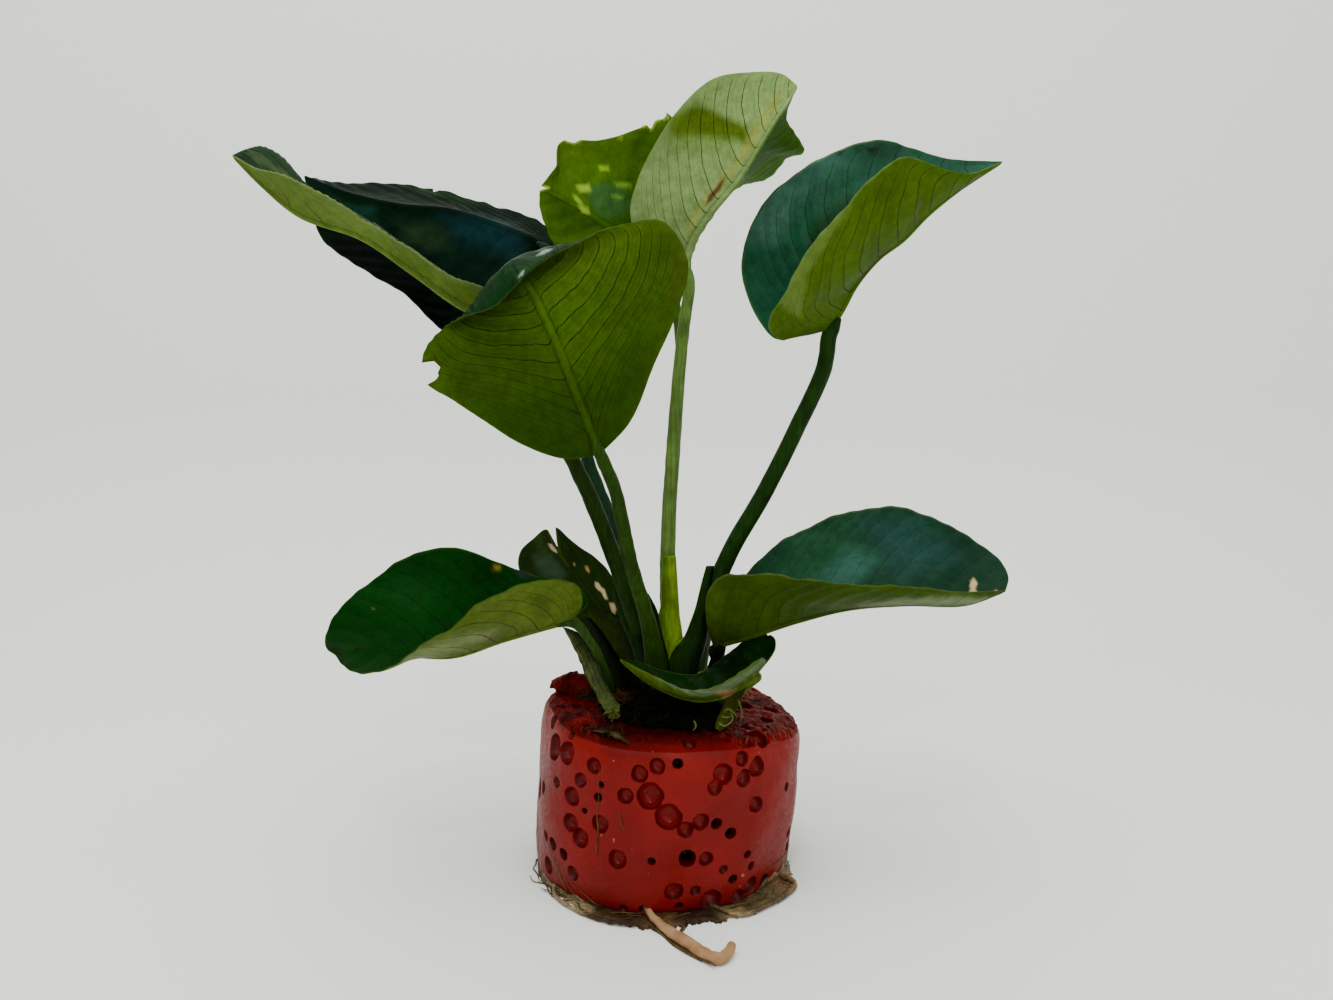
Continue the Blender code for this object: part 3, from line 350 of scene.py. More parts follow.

# Patches of colour, some of them painted highlights, sheen and shade: the face, the half, an outline
# in the photograph's pixels, the colour, how strong it is, and how soft its edge is in pixels
LEAF_PATCHES = {
    "front": [
        ("under", "left", [(668, 205), (690, 225), (680, 300), (668, 300), (676, 240), (655, 212)],
         (70, 72, 18), 0.4, 7),
        ("under", "right", [(424, 355), (440, 358), (450, 372), (444, 392), (428, 398), (420, 380)],
         (66, 92, 10), 0.6, 12),
        ("under", "both", [(540, 260), (650, 212), (668, 228), (560, 290)], (80, 98, 4), 0.3, 26),
        ("under", "both", [(430, 430), (520, 385), (600, 372), (640, 330), (662, 380), (620, 455),
         (560, 480), (480, 455)], (34, 60, 0), 0.8, 34),
        ("under", "right", [(430, 340), (500, 320), (560, 360), (540, 400), (450, 400)], (44, 70, 0), 0.5,
         26),
        ("under", "left", [(500, 371), (503, 369), (509, 379), (505, 380)], (60, 44, 10), 0.8, 1.5),
        ("upper", "left", [(505, 288), (520, 276), (548, 260), (542, 256), (510, 276)], (24, 62, 16), 0.6,
         6),
        # Painted highlights: small pale glints on the rolled strip
        ("upper", "left", [(516, 282), (520, 275), (524, 271), (523, 275)], (170, 196, 176), 0.7, 1.2),
        ("upper", "left", [(536, 257), (544, 251), (552, 250), (544, 255)], (170, 196, 176), 0.7, 1.2),
        ("upper", "left", [(561, 240), (568, 236), (571, 237), (564, 241)], (150, 180, 156), 0.6, 1.2),
    ],
    "left_near": [
        ("under", "both", [(370, 232), (400, 240), (440, 265), (430, 285), (396, 262)], (82, 108, 30), 0.7,
         9),
        ("under", "both", [(440, 270), (480, 292), (520, 318), (500, 326), (460, 300)], (98, 124, 38), 0.7,
         8),
        # Painted sheen: grey-green patches at the tip of the upper face
        ("upper", "both", [(246, 150), (262, 156), (284, 172), (300, 184), (280, 176), (258, 164)],
         (70, 88, 48), 0.6, 3),
        ("upper", "both", [(262, 146), (284, 158), (300, 178), (290, 170)], (60, 80, 46), 0.45, 5),
    ],
    "left_back": [
        # Painted sheen: bluish patches on the upper face
        ("upper", "both", [(330, 192), (378, 198), (376, 222), (340, 216)], (14, 50, 36), 0.7, 10),
        ("upper", "both", [(442, 216), (500, 214), (526, 236), (516, 258), (456, 240)], (18, 52, 56), 0.6,
         14),
        ("upper", "both", [(400, 222), (440, 226), (450, 250), (410, 246)], (34, 56, 30), 0.6, 12),
        # Painted shade: the band along the upper edge is darkened, on both faces
        ("upper", "both", [(310, 176), (361, 180), (431, 189), (475, 200), (519, 213), (549, 236),
         (536, 246), (510, 226), (475, 213), (431, 210), (387, 208), (344, 203)], (2, 20, 3), 0.85, 3),
        ("under", "both", [(310, 176), (361, 180), (431, 189), (475, 200), (519, 213), (549, 236),
         (536, 246), (510, 226), (475, 213), (431, 210), (387, 208), (344, 203)], (2, 20, 3), 0.85, 3),
        ("upper", "both", [(400, 186), (432, 190), (470, 200), (500, 207), (470, 204), (430, 195)],
         (30, 60, 24), 0.5, 2),
        # Painted shadow: the lower lobe, under the leaf in front, is almost black
        ("upper", "left", [(330, 232), (420, 250), (470, 300), (440, 330), (380, 300), (330, 262)],
         (1, 6, 2), 1.0, 8),
        # Painted highlight along the lit margin of that lobe
        ("upper", "left", [(426, 318), (436, 330), (444, 336), (436, 337)], (58, 90, 20), 0.8, 3),
    ],
    "top_front": [
        # Painted shadow: the dark band where a leaf behind blocks the light coming through
        ("under", "right", [(698, 103), (726, 117), (748, 126), (752, 146), (735, 141), (698, 137),
         (673, 136), (668, 119)], (74, 96, 0), 0.95, 7),
        ("under", "right", [(655, 110), (700, 128), (740, 138), (715, 150), (670, 146)], (92, 116, 14), 0.4,
         14),
        ("under", "right", [(736, 160), (770, 100), (790, 82), (776, 108), (752, 150), (700, 215),
         (690, 240), (690, 218)], (152, 158, 70), 0.75, 5),
        ("under", "right", [(706, 206), (709, 196), (720, 183), (727, 175), (722, 188), (713, 200)],
         (86, 50, 30), 0.95, 1.6),
        ("under", "left", [(760, 110), (800, 110), (815, 155), (760, 190), (735, 190)], (56, 98, 0), 0.95,
         9),
        ("upper", "left", [(760, 110), (800, 110), (815, 155), (760, 190), (735, 190)], (56, 98, 0), 0.95,
         9),
    ],
    "top_back": [
        # Painted sheen: the glossy bluish patch
        ("upper", "both", [(586, 186), (604, 182), (626, 186), (634, 206), (614, 224), (596, 216),
         (588, 198)], (50, 92, 44), 0.8, 5),
        ("upper", "both", [(598, 166), (608, 166), (609, 171), (600, 171)], (150, 182, 40), 0.9, 2),
        ("upper", "both", [(576, 186), (588, 184), (590, 191), (580, 193)], (150, 186, 50), 0.9, 2.5),
        ("upper", "both", [(572, 194), (580, 200), (586, 210), (584, 213), (577, 205)], (140, 180, 50), 0.8,
         2),
        ("upper", "both", [(614, 182), (632, 183), (631, 188), (616, 187)], (130, 172, 50), 0.8, 2),
        ("upper", "both", [(610, 194), (624, 196), (622, 200), (612, 198)], (126, 168, 60), 0.6, 2),
        ("upper", "both", [(580, 206), (588, 208), (589, 214), (581, 213)], (160, 190, 60), 0.9, 2),
        ("upper", "both", [(618, 134), (623, 136), (622, 142), (617, 140)], (150, 170, 60), 0.8, 1.5),
        ("upper", "both", [(545, 186), (556, 220), (640, 240), (640, 225), (580, 215)], (34, 70, 0), 0.6,
         9),
        ("upper", "both", [(556, 145), (600, 142), (640, 132), (630, 150), (570, 165)], (74, 104, 0), 0.7,
         10),
    ],
    "right": [
        ("upper", "left", [(805, 250), (812, 222), (850, 196), (866, 205), (830, 240), (812, 268)],
         (6, 48, 8), 0.9, 8),
        # Painted sheen: bluish patches of reflected light on the upper face
        ("upper", "left", [(750, 200), (785, 165), (800, 190), (775, 240), (750, 240)], (92, 134, 118),
         0.45, 16),
        ("upper", "left", [(790, 160), (840, 148), (850, 165), (806, 190)], (60, 104, 88), 0.4, 14),
        ("upper", "left", [(850, 146), (890, 140), (920, 150), (880, 160)], (10, 44, 22), 0.6, 8),
        ("upper", "left", [(834, 148), (839, 158), (847, 148)], (4, 20, 8), 0.9, 1.5),
        ("upper", "left", [(866, 148), (871, 157), (877, 148)], (4, 20, 8), 0.9, 1.5),
        ("under", "right", [(775, 300), (790, 270), (840, 200), (850, 206), (806, 276), (800, 318)],
         (112, 136, 60), 0.6, 4),
    ],
    "low_left": [
        ("upper", "both", [(494, 565), (501, 566), (499, 571), (493, 571)], (140, 120, 40), 0.8, 2),
        ("upper", "both", [(515, 569), (532, 570), (534, 577), (518, 577)], (52, 40, 62), 0.55, 4),
        ("upper", "both", [(372, 608), (374, 609), (374, 611), (372, 610)], (110, 116, 50), 0.6, 1),
        ("under", "both", [(478, 638), (482, 633), (489, 632), (491, 635), (487, 639), (481, 640)],
         (140, 120, 66), 0.6, 1.5),
        ("under", "both", [(480, 638), (483, 634), (488, 633), (486, 637)], (96, 70, 26), 0.8, 1),
        ("under", "both", [(528, 596), (538, 588), (550, 600), (546, 616), (534, 612)], (56, 72, 20), 0.6,
         7),
        ("under", "both", [(385, 668), (400, 655), (430, 645), (470, 632), (500, 628), (480, 640),
         (440, 652), (405, 666)], (132, 144, 98), 0.65, 5),
        ("under", "both", [(440, 630), (480, 604), (520, 588), (510, 612), (460, 636)], (84, 100, 34), 0.6,
         7),
        ("upper", "both", [(328, 640), (340, 650), (345, 668), (332, 662)], (10, 20, 2), 0.7, 5),
        ("upper", "both", [(360, 600), (400, 570), (440, 590), (420, 620)], (20, 66, 20), 0.5, 16),
    ],
    "split": [
        ("upper", "left", [(536, 530), (556, 560), (566, 600), (580, 620), (540, 590)], (52, 76, 30), 0.7,
         8),
        ("upper", "left", [(534, 556), (550, 556), (568, 572), (562, 580), (540, 574)], (56, 78, 60), 0.7,
         5),
        ("upper", "both", [(576, 617), (600, 610), (622, 640), (640, 660), (620, 672), (600, 646)],
         (40, 56, 0), 0.9, 6),
        ("upper", "both", [(548, 543), (552, 544), (555, 548), (559, 552), (557, 553), (551, 549)],
         (226, 206, 156), 1.0, 1),
        ("upper", "both", [(585, 566), (588, 566), (590, 571), (589, 573), (586, 570)], (190, 150, 80), 0.9,
         1),
        ("upper", "both", [(595, 582), (598, 583), (601, 587), (605, 590), (606, 594), (608, 600),
         (605, 599), (602, 593), (598, 590), (595, 586)], (232, 208, 150), 1.0, 1),
        ("upper", "both", [(609, 603), (614, 603), (617, 608), (615, 614), (612, 612), (610, 607)],
         (216, 184, 134), 1.0, 1),
        ("upper", "both", [(573, 563), (575, 563), (575, 566), (573, 566)], (180, 150, 90), 0.8, 0.8),
    ],
    "low_right": [
        # Painted sheen on the far face
        ("upper", "left", [(760, 585), (800, 530), (850, 520), (880, 560), (820, 595)], (30, 84, 50), 0.5,
         18),
        ("upper", "left", [(860, 520), (920, 520), (960, 560), (900, 580)], (34, 72, 66), 0.6, 18),
        ("upper", "left", [(820, 580), (850, 548), (880, 560), (850, 590)], (56, 100, 90), 0.5, 12),
        ("upper", "left", [(970, 582), (974, 579), (977, 584), (975, 590), (979, 596), (970, 595)],
         (216, 184, 134), 1.0, 1),
        ("under", "right", [(849, 602), (930, 602), (930, 612), (849, 612)], (66, 56, 20), 0.5, 5),
        ("under", "right", [(860, 605), (900, 598), (950, 596), (1000, 598), (985, 604), (920, 604)],
         (130, 144, 104), 0.65, 4),
        ("under", "right", [(706, 575), (716, 572), (722, 600), (718, 640), (708, 625)], (70, 92, 20), 0.6,
         6),
    ],
    "small": [
        # Painted highlight along the rolled rim
        ("under", "both", [(642, 664), (656, 669), (670, 675), (684, 686), (697, 689), (712, 688),
         (727, 682), (742, 673), (756, 663), (764, 654), (766, 660), (752, 672), (738, 683), (722, 692),
         (706, 695), (690, 694), (674, 687), (658, 678), (645, 669)], (96, 118, 84), 0.8, 2),
        ("under", "both", [(712, 691), (724, 697), (736, 688), (726, 689)], (150, 110, 80), 0.8, 2),
        ("upper", "both", [(712, 660), (740, 650), (756, 668), (730, 686)], (4, 20, 0), 0.7, 9),
    ],
}

# Grid and thickness of a blade, and the relief of its midrib and the fields between its veins
BLADE_ROWS = 150
HALF_COLUMNS = 46
COLUMN_POWER = 1.15
FACING_ROWS = 13
BLADE_THICKNESS = 0.5
RIM_THICKNESS = 0.3
MIDRIB_HEIGHT = 0.8
MIDRIB_WIDTH = 0.6
GROOVE_DEPTH = 0.35
QUILT_DEPTH = 0.14
VEIN_POWER = 1.35
KNOT_POWER = 0.7
TEAR_WIDTH = 2.5
FAR = 1000.0

# Side veins: lines for each step of the phase, half their width, and their strength
VEIN_LINES = ((1.0, 0.036, 1.0), (3.0, 0.05, 0.34))
VEIN_SHADE = 0.06

# Relief of the plant's surfaces, and of the stone's lip: depth and size of the lumps
LEAF_WAVES = (0.3, 5.0)
STALK_RELIEF = (0.14, 2.6)
OLD_STALK_RELIEF = (0.22, 1.8)
RHIZOME_RELIEF = (0.5, 2.2)
BED_RELIEF = (1.0, 2.2)
LIP_RELIEF = (0.5, 2.4)
LIP_GRIT = (0.3, 0.9)
ROOT_LUMPS = 1.6

# How the veins wander, and how the skin is mottled, in the same terms
VEIN_WOBBLE = (0.012, 6.0)
VEIN_TREMBLE = (0.004, 1.5)
LEAF_MOTTLE = (0.3, 14.0)

# Each stalk: its colour, the colour of its foot, and how much the foot widens into a sheath; the
# darkest of these colours are painted shade at the plant's base
STALK_FINISH = {
    "front": ((30, 52, 6), (16, 34, 2), 0.5),
    "left_near": ((24, 44, 4), (16, 34, 2), 0.5),
    "left_back": ((22, 46, 26), (14, 30, 4), 0.5),
    "top_front": ((76, 100, 42), (46, 70, 0), 0.5),
    "top_back": ((60, 90, 16), (60, 90, 10), 0.4),
    "right": ((20, 44, 6), (18, 50, 2), 0.9),
    "low_left": ((40, 62, 16), (24, 40, 6), 0.5),
    "split": ((36, 54, 10), (20, 36, 4), 0.4),
    "low_right": ((8, 24, 2), (4, 16, 0), 0.0),
    "small": ((70, 88, 20), (60, 74, 14), 0.6),
}
STALK_SIDES = 24
STALK_STEP = 0.6
SHEATH_LENGTH = 26.0

# Broad sheaths at the feet of the stalks, as rows from the top down: the two ends of the row
# in the photograph's pixels, its y and half its thickness in millimetres
SHEATHS = {
    "split": [
        ((580, 617), (597, 606), 4.6, 0.1), ((586, 624), (611, 616), 4.0, 0.7),
        ((592, 632), (622, 620), 3.5, 1.0), ((600, 642), (634, 628), 3, 1.3),
        ((610, 656), (644, 644), 2.5, 1.4), ((620, 671), (652, 660), 2, 1.4),
        ((628, 685), (656, 676), 1.5, 1.2),
    ],
    "low_left": [
        ((578, 617), (590, 617), -7, 1.0), ((584, 631), (601, 630), -7, 1.5),
        ((589, 645), (610, 643), -6, 1.8), ((596, 659), (618, 656), -5, 2.1),
        ((603, 673), (625, 670), -4, 2.4), ((606, 687), (630, 684), -3.5, 2.5),
        ((610, 699), (632, 696), -3.5, 2.3),
    ],
    "left_near": [
        ((612, 582), (624, 582), -0.5, 1.0), ((614, 600), (633, 600), -1, 1.8),
        ((621, 622), (643, 620), -2, 2.0), ((631, 646), (652, 644), -3, 2.2),
        ((638, 666), (660, 664), -4, 2.3), ((642, 684), (662, 682), -5, 2.2),
    ],
    "front": [
        ((635, 596), (649, 594), -8, 1.4), ((643, 614), (658, 612), -7, 1.7),
        ((650, 634), (662, 632), -6, 1.9), ((655, 654), (667, 652), -5.5, 2.0),
        ((656, 670), (670, 668), -5.5, 2.0), ((657, 686), (672, 686), -5.5, 2.0),
    ],
    "top_front": [
        ((663, 556), (676, 556), 2.4, 1.2), ((662, 570), (677, 570), 2.2, 1.6),
        ((661, 586), (678, 586), 2, 1.8), ((661, 602), (679, 602), 2, 1.9),
        ((658, 617), (680, 616), 1.5, 2.1), ((658, 631), (682, 629), 1, 2.3),
        ((661, 645), (683, 643), 0, 2.4), ((665, 658), (682, 657), -1, 2.3),
        ((668, 672), (680, 672), -1.5, 2.0),
    ],
    "right": [
        ((706, 566), (714, 566), 0, 0.8), ((702, 580), (712, 580), -0.5, 1.3),
        ((699, 592), (711, 592), -1, 1.6), ((695, 608), (710, 608), -1.5, 1.9),
        ((690, 622), (709, 622), -2, 2.2), ((684, 636), (708, 637), -2.5, 2.5),
        ((675, 646), (705, 649), -3, 2.7), ((669, 656), (702, 660), -3.5, 2.8),
        ((667.5, 666), (699, 671), -4, 2.7), ((670, 678), (697, 682), -4.5, 2.5),
        ((674, 690), (696, 692), -5, 2.2),
    ],
    "low_right": [
        ((715, 636), (727, 636), -6, 1.2), ((714.5, 648), (726, 648), -6, 1.5),
        ((710.5, 658), (724, 659), -5.5, 1.6), ((707, 668), (721, 670), -5, 1.7),
        ((702, 680), (717, 683), -5, 1.8), ((696, 692), (712, 694), -5, 1.7),
    ],
    "small": [
        ((738, 684), (747, 686), -15, 1.0), ((731, 693), (744, 695), -17, 1.5),
        ((725, 703), (739, 705), -19, 1.6), ((720, 713), (734, 716), -21, 1.5),
        ((716, 722), (728, 725), -22.5, 1.2), ((715, 728), (722, 731), -23.5, 0.7),
    ],
}

# Colours of a sheath at its two ends of a row, and of its rims; the near-black ones are painted
# shade at the plant's base
SHEATH_COLOURS = {
    "split": ((40, 52, 2), (20, 36, 0), (48, 58, 6)),
    "low_left": ((12, 30, 2), (1, 3, 0), (22, 42, 4)),
    "left_near": ((12, 36, 2), (0, 3, 0), (8, 24, 2)),
    "front": ((0, 3, 0), (4, 20, 0), (10, 26, 2)),
    "top_front": ((62, 88, 0), (92, 118, 10), (106, 132, 40)),
    "right": ((16, 40, 0), (0, 14, 0), (108, 136, 26)),
    "low_right": ((1, 8, 0), (2, 14, 0), (6, 22, 2)),
    "small": ((54, 62, 8), (30, 36, 0), (72, 80, 20)),
}

# The old stalk, flattened, in the same terms, with its colours, ribs and bright end
OLD_STALK = [
    ((562, 627), (569, 628), -3, 0.5), ((566, 634), (579, 634), -3.3, 0.8),
    ((571, 643), (586, 642), -4, 0.9), ((576, 653), (592, 651), -5.5, 1.0),
    ((581, 665), (598, 663), -7.5, 1.0), ((586, 677), (603, 675), -9.5, 1.0),
    ((592, 688), (608, 687), -12, 1.0), ((598, 699), (613, 697), -14.5, 1.0),
    ((603, 708), (620, 706), -16.5, 0.9), ((607, 715), (618, 714), -17.5, 0.6),
]
OLD_STALK_COLOURS = ((58, 64, 22), (34, 42, 6), (80, 86, 40))
OLD_STALK_END = (60, 78, 16)
OLD_STALK_END_HEIGHTS = (50, 45)
RIB_DEPTH = 0.45
RIB_RATE = 11

# The thin lip of the stone's top at its left, in the same terms
STONE_LIP = [
    ((551, 681), (551.5, 687), 3, 0.9), ((556, 678), (557, 691), 2, 1.9),
    ((563, 675), (563, 694), 1, 2.4), ((570, 672), (570, 696), 1, 2.8), ((578, 673), (578, 697), 1, 3.0),
    ((586, 674), (586, 697), 1, 2.8), ((594, 678), (594, 695), 1, 2.0),
]
STRIP_STEPS = 10
STRIP_SIDES = 32

# Roots on the top of the stone, painted near black as shade: their outline as x and y, their
# middle, base and height
ROOT_BED = [
    (-13.5, -8), (-12, -14.5), (-5, -20), (3, -22.5), (9.6, -24), (14, -22), (17.5, -16), (19, -8), (17, 4),
    (10, 12), (0, 15), (-9, 12), (-14, 4),
]
BED_MIDDLE = (2, -5)
BED_BASE = 41.6
BED_HEIGHT = 4.6
BED_DEPTH = 1.5
BED_POWER = 2.4
BED_ROWS = 30
BED_COLUMNS = 160

# Matted roots over that bed, painted near black as shade: how many, how far from its middle they
# start, and how they run
BED_ROOTS = 110
BED_ROOT_REACH = 7
BED_ROOT_HEIGHT = 46.4
BED_ROOT_STEP = 2.2
BED_ROOT_JOINTS = 6

# Roots round the stone's foot: their paths, as in their solids, and their radii
ROOTS = {
    "root_front": {
        "path": [(-3.5, -30, 1.7), (-1, -36.5, 1.5), (2, -41.5, 1.5), (7, -48, 1.5), (11, -53, 1.5),
                 (13, -54, 1.5), (14.8, -52, 1.5), (16, -48.5, 1.5)],
        "radii": [0.7, 0.8, 1.0, 1.25, 1.35, 1.3, 1.25, 1.0],
    },
    "root_right": {
        "path": [(11.5, -28.5, 1.2), (19, -33, 0.9), (25.5, -28.5, 0.9), (31, -22.5, 0.9), (33.5, -17, 1.0),
                 (28.5, -10.5, 1.3)],
        "radii": [0.5, 0.5, 0.55, 0.6, 0.7, 0.9],
    },
    "root_left": {
        "path": [(-26, -15, 1.2), (-25.5, -22.5, 0.8), (-18.5, -31.5, 0.7), (-11, -36.5, 0.7),
                 (-5, -38, 0.7)],
        "radii": [0.6, 0.45, 0.45, 0.45, 0.3],
    },
    "root_back": {
        "path": [(-8.5, 29, 1.2), (-4, 36.5, 0.9), (4, 38.5, 0.9), (10.5, 36, 0.9), (12.5, 27.5, 1.2)],
        "radii": [0.8, 0.8, 0.8, 0.7, 0.7],
    },
}
ROOT_SIDES = 16
ROOT_STEP = 0.4
ROOT_ROUGHNESS = 0.12

# Root mat at the stone's foot: width on the floor, climb up the side and colour, by angle from
# the front towards +X
MAT_SECTIONS = 720
MAT_WIDTHS = [
    (-180, 1.0), (-90, 0.6), (-75, 0.6), (-55, 1.0), (-40, 2.2), (-26, 4.2), (-17, 5.2), (-3, 5.6),
    (7, 6.4), (20, 6.4), (27, 6.2), (40, 6.2), (52, 6.4), (60, 5.6), (75, 2.8), (90, 1.5), (110, 1.0),
    (180, 1.0),
]
MAT_CLIMBS = [
    (-180, 0.6), (-90, 0.8), (-60, 2.2), (-40, 1.6), (-20, 0.8), (0, 0.5), (30, 0.6), (45, 1.5), (55, 3.5),
    (75, 5.0), (95, 2.0), (180, 0.6),
]
MAT_TONES = [
    (-180, (84, 68, 44)), (-80, (60, 46, 30)), (-60, (110, 98, 70)), (-42, (132, 116, 84)),
    (-32, (140, 122, 84)), (-26, (60, 44, 24)), (-10, (44, 30, 16)), (3, (92, 66, 40)),
    (10, (40, 28, 14)), (22, (50, 36, 20)), (29, (132, 110, 76)), (36, (74, 60, 36)), (55, (88, 72, 42)),
    (62, (120, 90, 56)), (85, (96, 78, 50)), (180, (84, 68, 44)),
]
MAT_EDGE_GAIN = 1.35
MAT_LEAST_CLIMB = 0.4

# Outline of the mat's section: share of the climb, height, how much that height ripples,
# distance from the stone, and share of the width
MAT_SECTION = [
    (1.0, 0.0, 0.0, 0.05, 0.0), (0.5, 0.0, 0.0, 0.3, 0.0), (0.0, 0.7, 0.0, 0.5, 0.0),
    (0.0, 0.36, 0.2, 0.5, 0.5), (0.0, 0.2, 0.0, 0.5, 1.0), (0.0, 0.05, 0.0, 0.45, 0.97),
    (0.0, 0.1, 0.0, 0.1, 0.0), (0.5, 0.0, 0.0, -0.2, 0.0),
]
MAT_EDGE = slice(4, 6)

# Radius at the start of the strands of each piece, and the share of it that they lose by their end
STRAND_RADII = {
    "foot_hairs": 0.22, "stone_hairs": 0.14, "front_strands": 0.5, "young_roots": 0.24,
    "dry_straps": 0.5, "frayed_end": 0.32, "bed_roots": 0.5, "moss_tuft": 0.17,
    "fibre_ball": 0.17, "edge_fibres": 0.15,
}
STRAND_TAPER = 0.6
HAIR_SIDES = 6
HAIR_SEED = 21

# Hairs at the foot of the stone, placed by a seeded draw: how many, and how far out they lie
FOOT_HAIRS = 90
FOOT_HAIR_HEIGHT = 0.4
FOOT_HAIR_START = (0.2, 1.6)
FOOT_HAIR_STEP = 1.6
FOOT_HAIR_JOINTS = (3, 7)
FOOT_HAIR_GAP = 0.3
FOOT_HAIR_REACH = 3.2

# Hairs on the stone: low height, high height, first and last angle from the front
STONE_HAIRS = [
    (14, 35, -27, -26), (1, 13, -44, -58), (1, 9, -38, -50), (0.8, 6, -25, -44), (21.7, 25.6, -15, -16.5),
    (5.5, 7, 52, 78),
]
STONE_HAIR_JOINTS = 7
STONE_HAIR_GAP = 0.16

# Tufts on the stone: middle, number of fibres, their length, bend, lift and material
TUFTS = {
    "moss_tuft": ((-18.7, 0.0, 44.0), 170, 4.6, 0.5, 0.3, "moss_fibre"),
    "fibre_ball": ((-10.0, -10.5, 45.4), 90, 3.6, 0.7, 0.2, "dead_fibre"),
    "edge_fibres": ((-11.2, -25.9, 41.7), 24, 3.4, 0.5, 0.2, "dead_fibre"),
}
FRAYED_END = (-11.8, -17.0, 44.4)
FRAYED_FIBRES = 34

# Dry scale near the front edge of the stone's top
SCALE_PATH = [(-15.7, -23.9, 42.0), (-13.2, -24.7, 42.2), (-10.7, -26.3, 42.0), (-8.6, -28.3, 41.4),
              (-7.1, -29.5, 40.8)]
SCALE_RADII = [0.5, 1.6, 2.0, 1.4, 0.4]
SCALE_SIDES = 14
SCALE_ROUGHNESS = 0.3
SCALE_SQUASH = 0.28

# Fine roots and straps, each point as a pixel of the photograph and its y in millimetres
YOUNG_ROOTS = [
    [((724, 711), -24), ((728, 709), -24.5), ((733, 712), -24.5), ((737, 717), -24)],
    [((721, 716), -24), ((727, 717.5), -24.5), ((732, 716), -24)],
    [((719, 723), -25), ((724, 726), -25.5), ((730, 723), -25.5), ((733, 718), -25), ((731, 713), -24.5)],
    [((738, 700), -20), ((741, 708), -21), ((742, 717), -22), ((740, 722), -22.5)],
    [((744, 690), -14), ((748, 696), -13), ((754, 700), -12)],
    [((698, 673), -7), ((703, 671.5), -7), ((708, 668), -6)],
    [((694, 721), -26), ((696, 726), -26.5), ((693, 731), -26.5)],
]
DRY_STRAPS = [
    [((589, 674), 0), ((583, 679), 1), ((577, 684), 2), ((570, 689), 3)],
    [((590, 677), 0), ((585, 682), 0), ((578, 688), 1), ((574, 693), 2)],
]
FRONT_STRANDS = [
    [((650, 925), -38), ((662, 935), -41), ((674, 945), -46), ((688, 953), -50), ((702, 961), -53)],
    [((658, 925), -38), ((668, 936), -42), ((680, 946), -46.5), ((694, 955), -51), ((716, 966), -56)],
    [((684, 927), -38), ((680, 934), -41), ((684, 941), -44), ((696, 950), -49)],
    [((665, 922), -37), ((671, 932), -41), ((680, 943), -45), ((690, 950), -49)],
]

# Colours of the stone, of which the dark crust colour also serves as painted shade on the top, the
# streak colour as painted sheen, and the pit colours as painted shade in the pits
STONE_COLOURS = {
    "stone_red": (112, 5, 3),
    "stone_deep": (98, 2, 0),
    "stone_orange": (116, 6, 2),
    "stone_fleck": (170, 100, 84),
    "crust_red": (104, 8, 4),
    # The crust's dark colour, also the painted shade on the middle of the top and on its front edge
    "crust_dark_and_shade": (34, 0, 0),
    # Pale streaks on the crust, painted sheen
    "crust_streak_sheen": (128, 42, 32),
    # Pits: painted shade darkens them from the rim in, lighter red at the middle, black shadow in deep ones
    "pit_red": (106, 6, 4),
    "pit_shade": (66, 0, 0),
    "pit_shadow_black": (2, 0, 0),
}

# The stone's materials: how shiny each is, and how much smoother water makes it
STONE_SKINS = {"stone_glaze": (0.13, 0.0), "pit_glaze": (0.09, 0.28), "crust_glaze": (0.02, 0.0)}

# Where the glaze turns orange, and the painted shade on the crust in the middle of the top and on
# the top's front edge: the values of x, y or height in metres between which each sets in
ORANGE_HEIGHTS = (0.026, 0.038)
SHADE_EAST = ((0.02, 0.008), (-0.018, -0.008))
SHADE_HEIGHTS = (0.0385, 0.0415)
FRONT_SHADE_EAST = ((0.021, 0.012), (-0.017, -0.01))
FRONT_SHADE_HEIGHTS = (0.034, 0.0425)
FRONT_SHADE_NORTH = ((-0.0345, -0.029), (0.012, -0.008))

# Leaf materials: roughness, strength of the veins, height of the bumps in metres, share of the
# light that passes through and its gain, and how shiny the face is
LEAF_SKINS = {
    "leaf_upper": (0.4, 0.5, 0.00035, 0.22, (1.3, 1.6, 0.4), 0.05),
    "leaf_under": (0.5, 0.85, 0.00022, 0.3, (1.3, 1.5, 0.4), 0.05),
    "leaf_dark": (0.45, 0.5, 0.00035, 0.22, (1.3, 1.6, 0.4), 0.015),
}

# Leaves whose upper face is of the dark material
DARK_LEAVES = ("left_back", "low_left")

# Fibrous materials in two colours: those colours, roughness and height of the bumps in metres
FIBRES = {
    # The creeping stem and the root bed: painted near black as the shade at the plant's base
    "rhizome_bark_and_shade": ((8, 9, 2), (2, 2, 0), 0.6, 0.0004),
    "root_skin": ((160, 126, 90), (140, 100, 66), 0.4, 0.0002),
    "pale_fibre": ((90, 94, 38), (56, 60, 18), 0.5, 0.0001),
    "moss_fibre": ((72, 60, 32), (36, 30, 12), 0.8, 0.0001),
    "dead_fibre": ((64, 40, 14), (26, 14, 4), 0.7, 0.0002),
    "root_hair": ((92, 72, 42), (54, 38, 20), 0.5, 0.0001),
    # Matted roots on the bed: painted near black as shade
    "bed_root_and_shade": ((14, 12, 5), (5, 4, 1), 0.6, 0.0002),
}

# Fibrous materials that take their colour from the points: roughness and height of the bumps
TONED_FIBRES = {"withered_fibre": (0.5, 0.0003), "root_film": (0.35, 0.0004)}

# How shiny the stalks, the fibres and the toned fibres are
STALK_SPECULAR = 0.04
FIBRE_SPECULAR = 0.02
FILM_SPECULAR = 0.13

# Values of a noise texture between which most of it lies
MIDDLE = (0.3, 0.7)


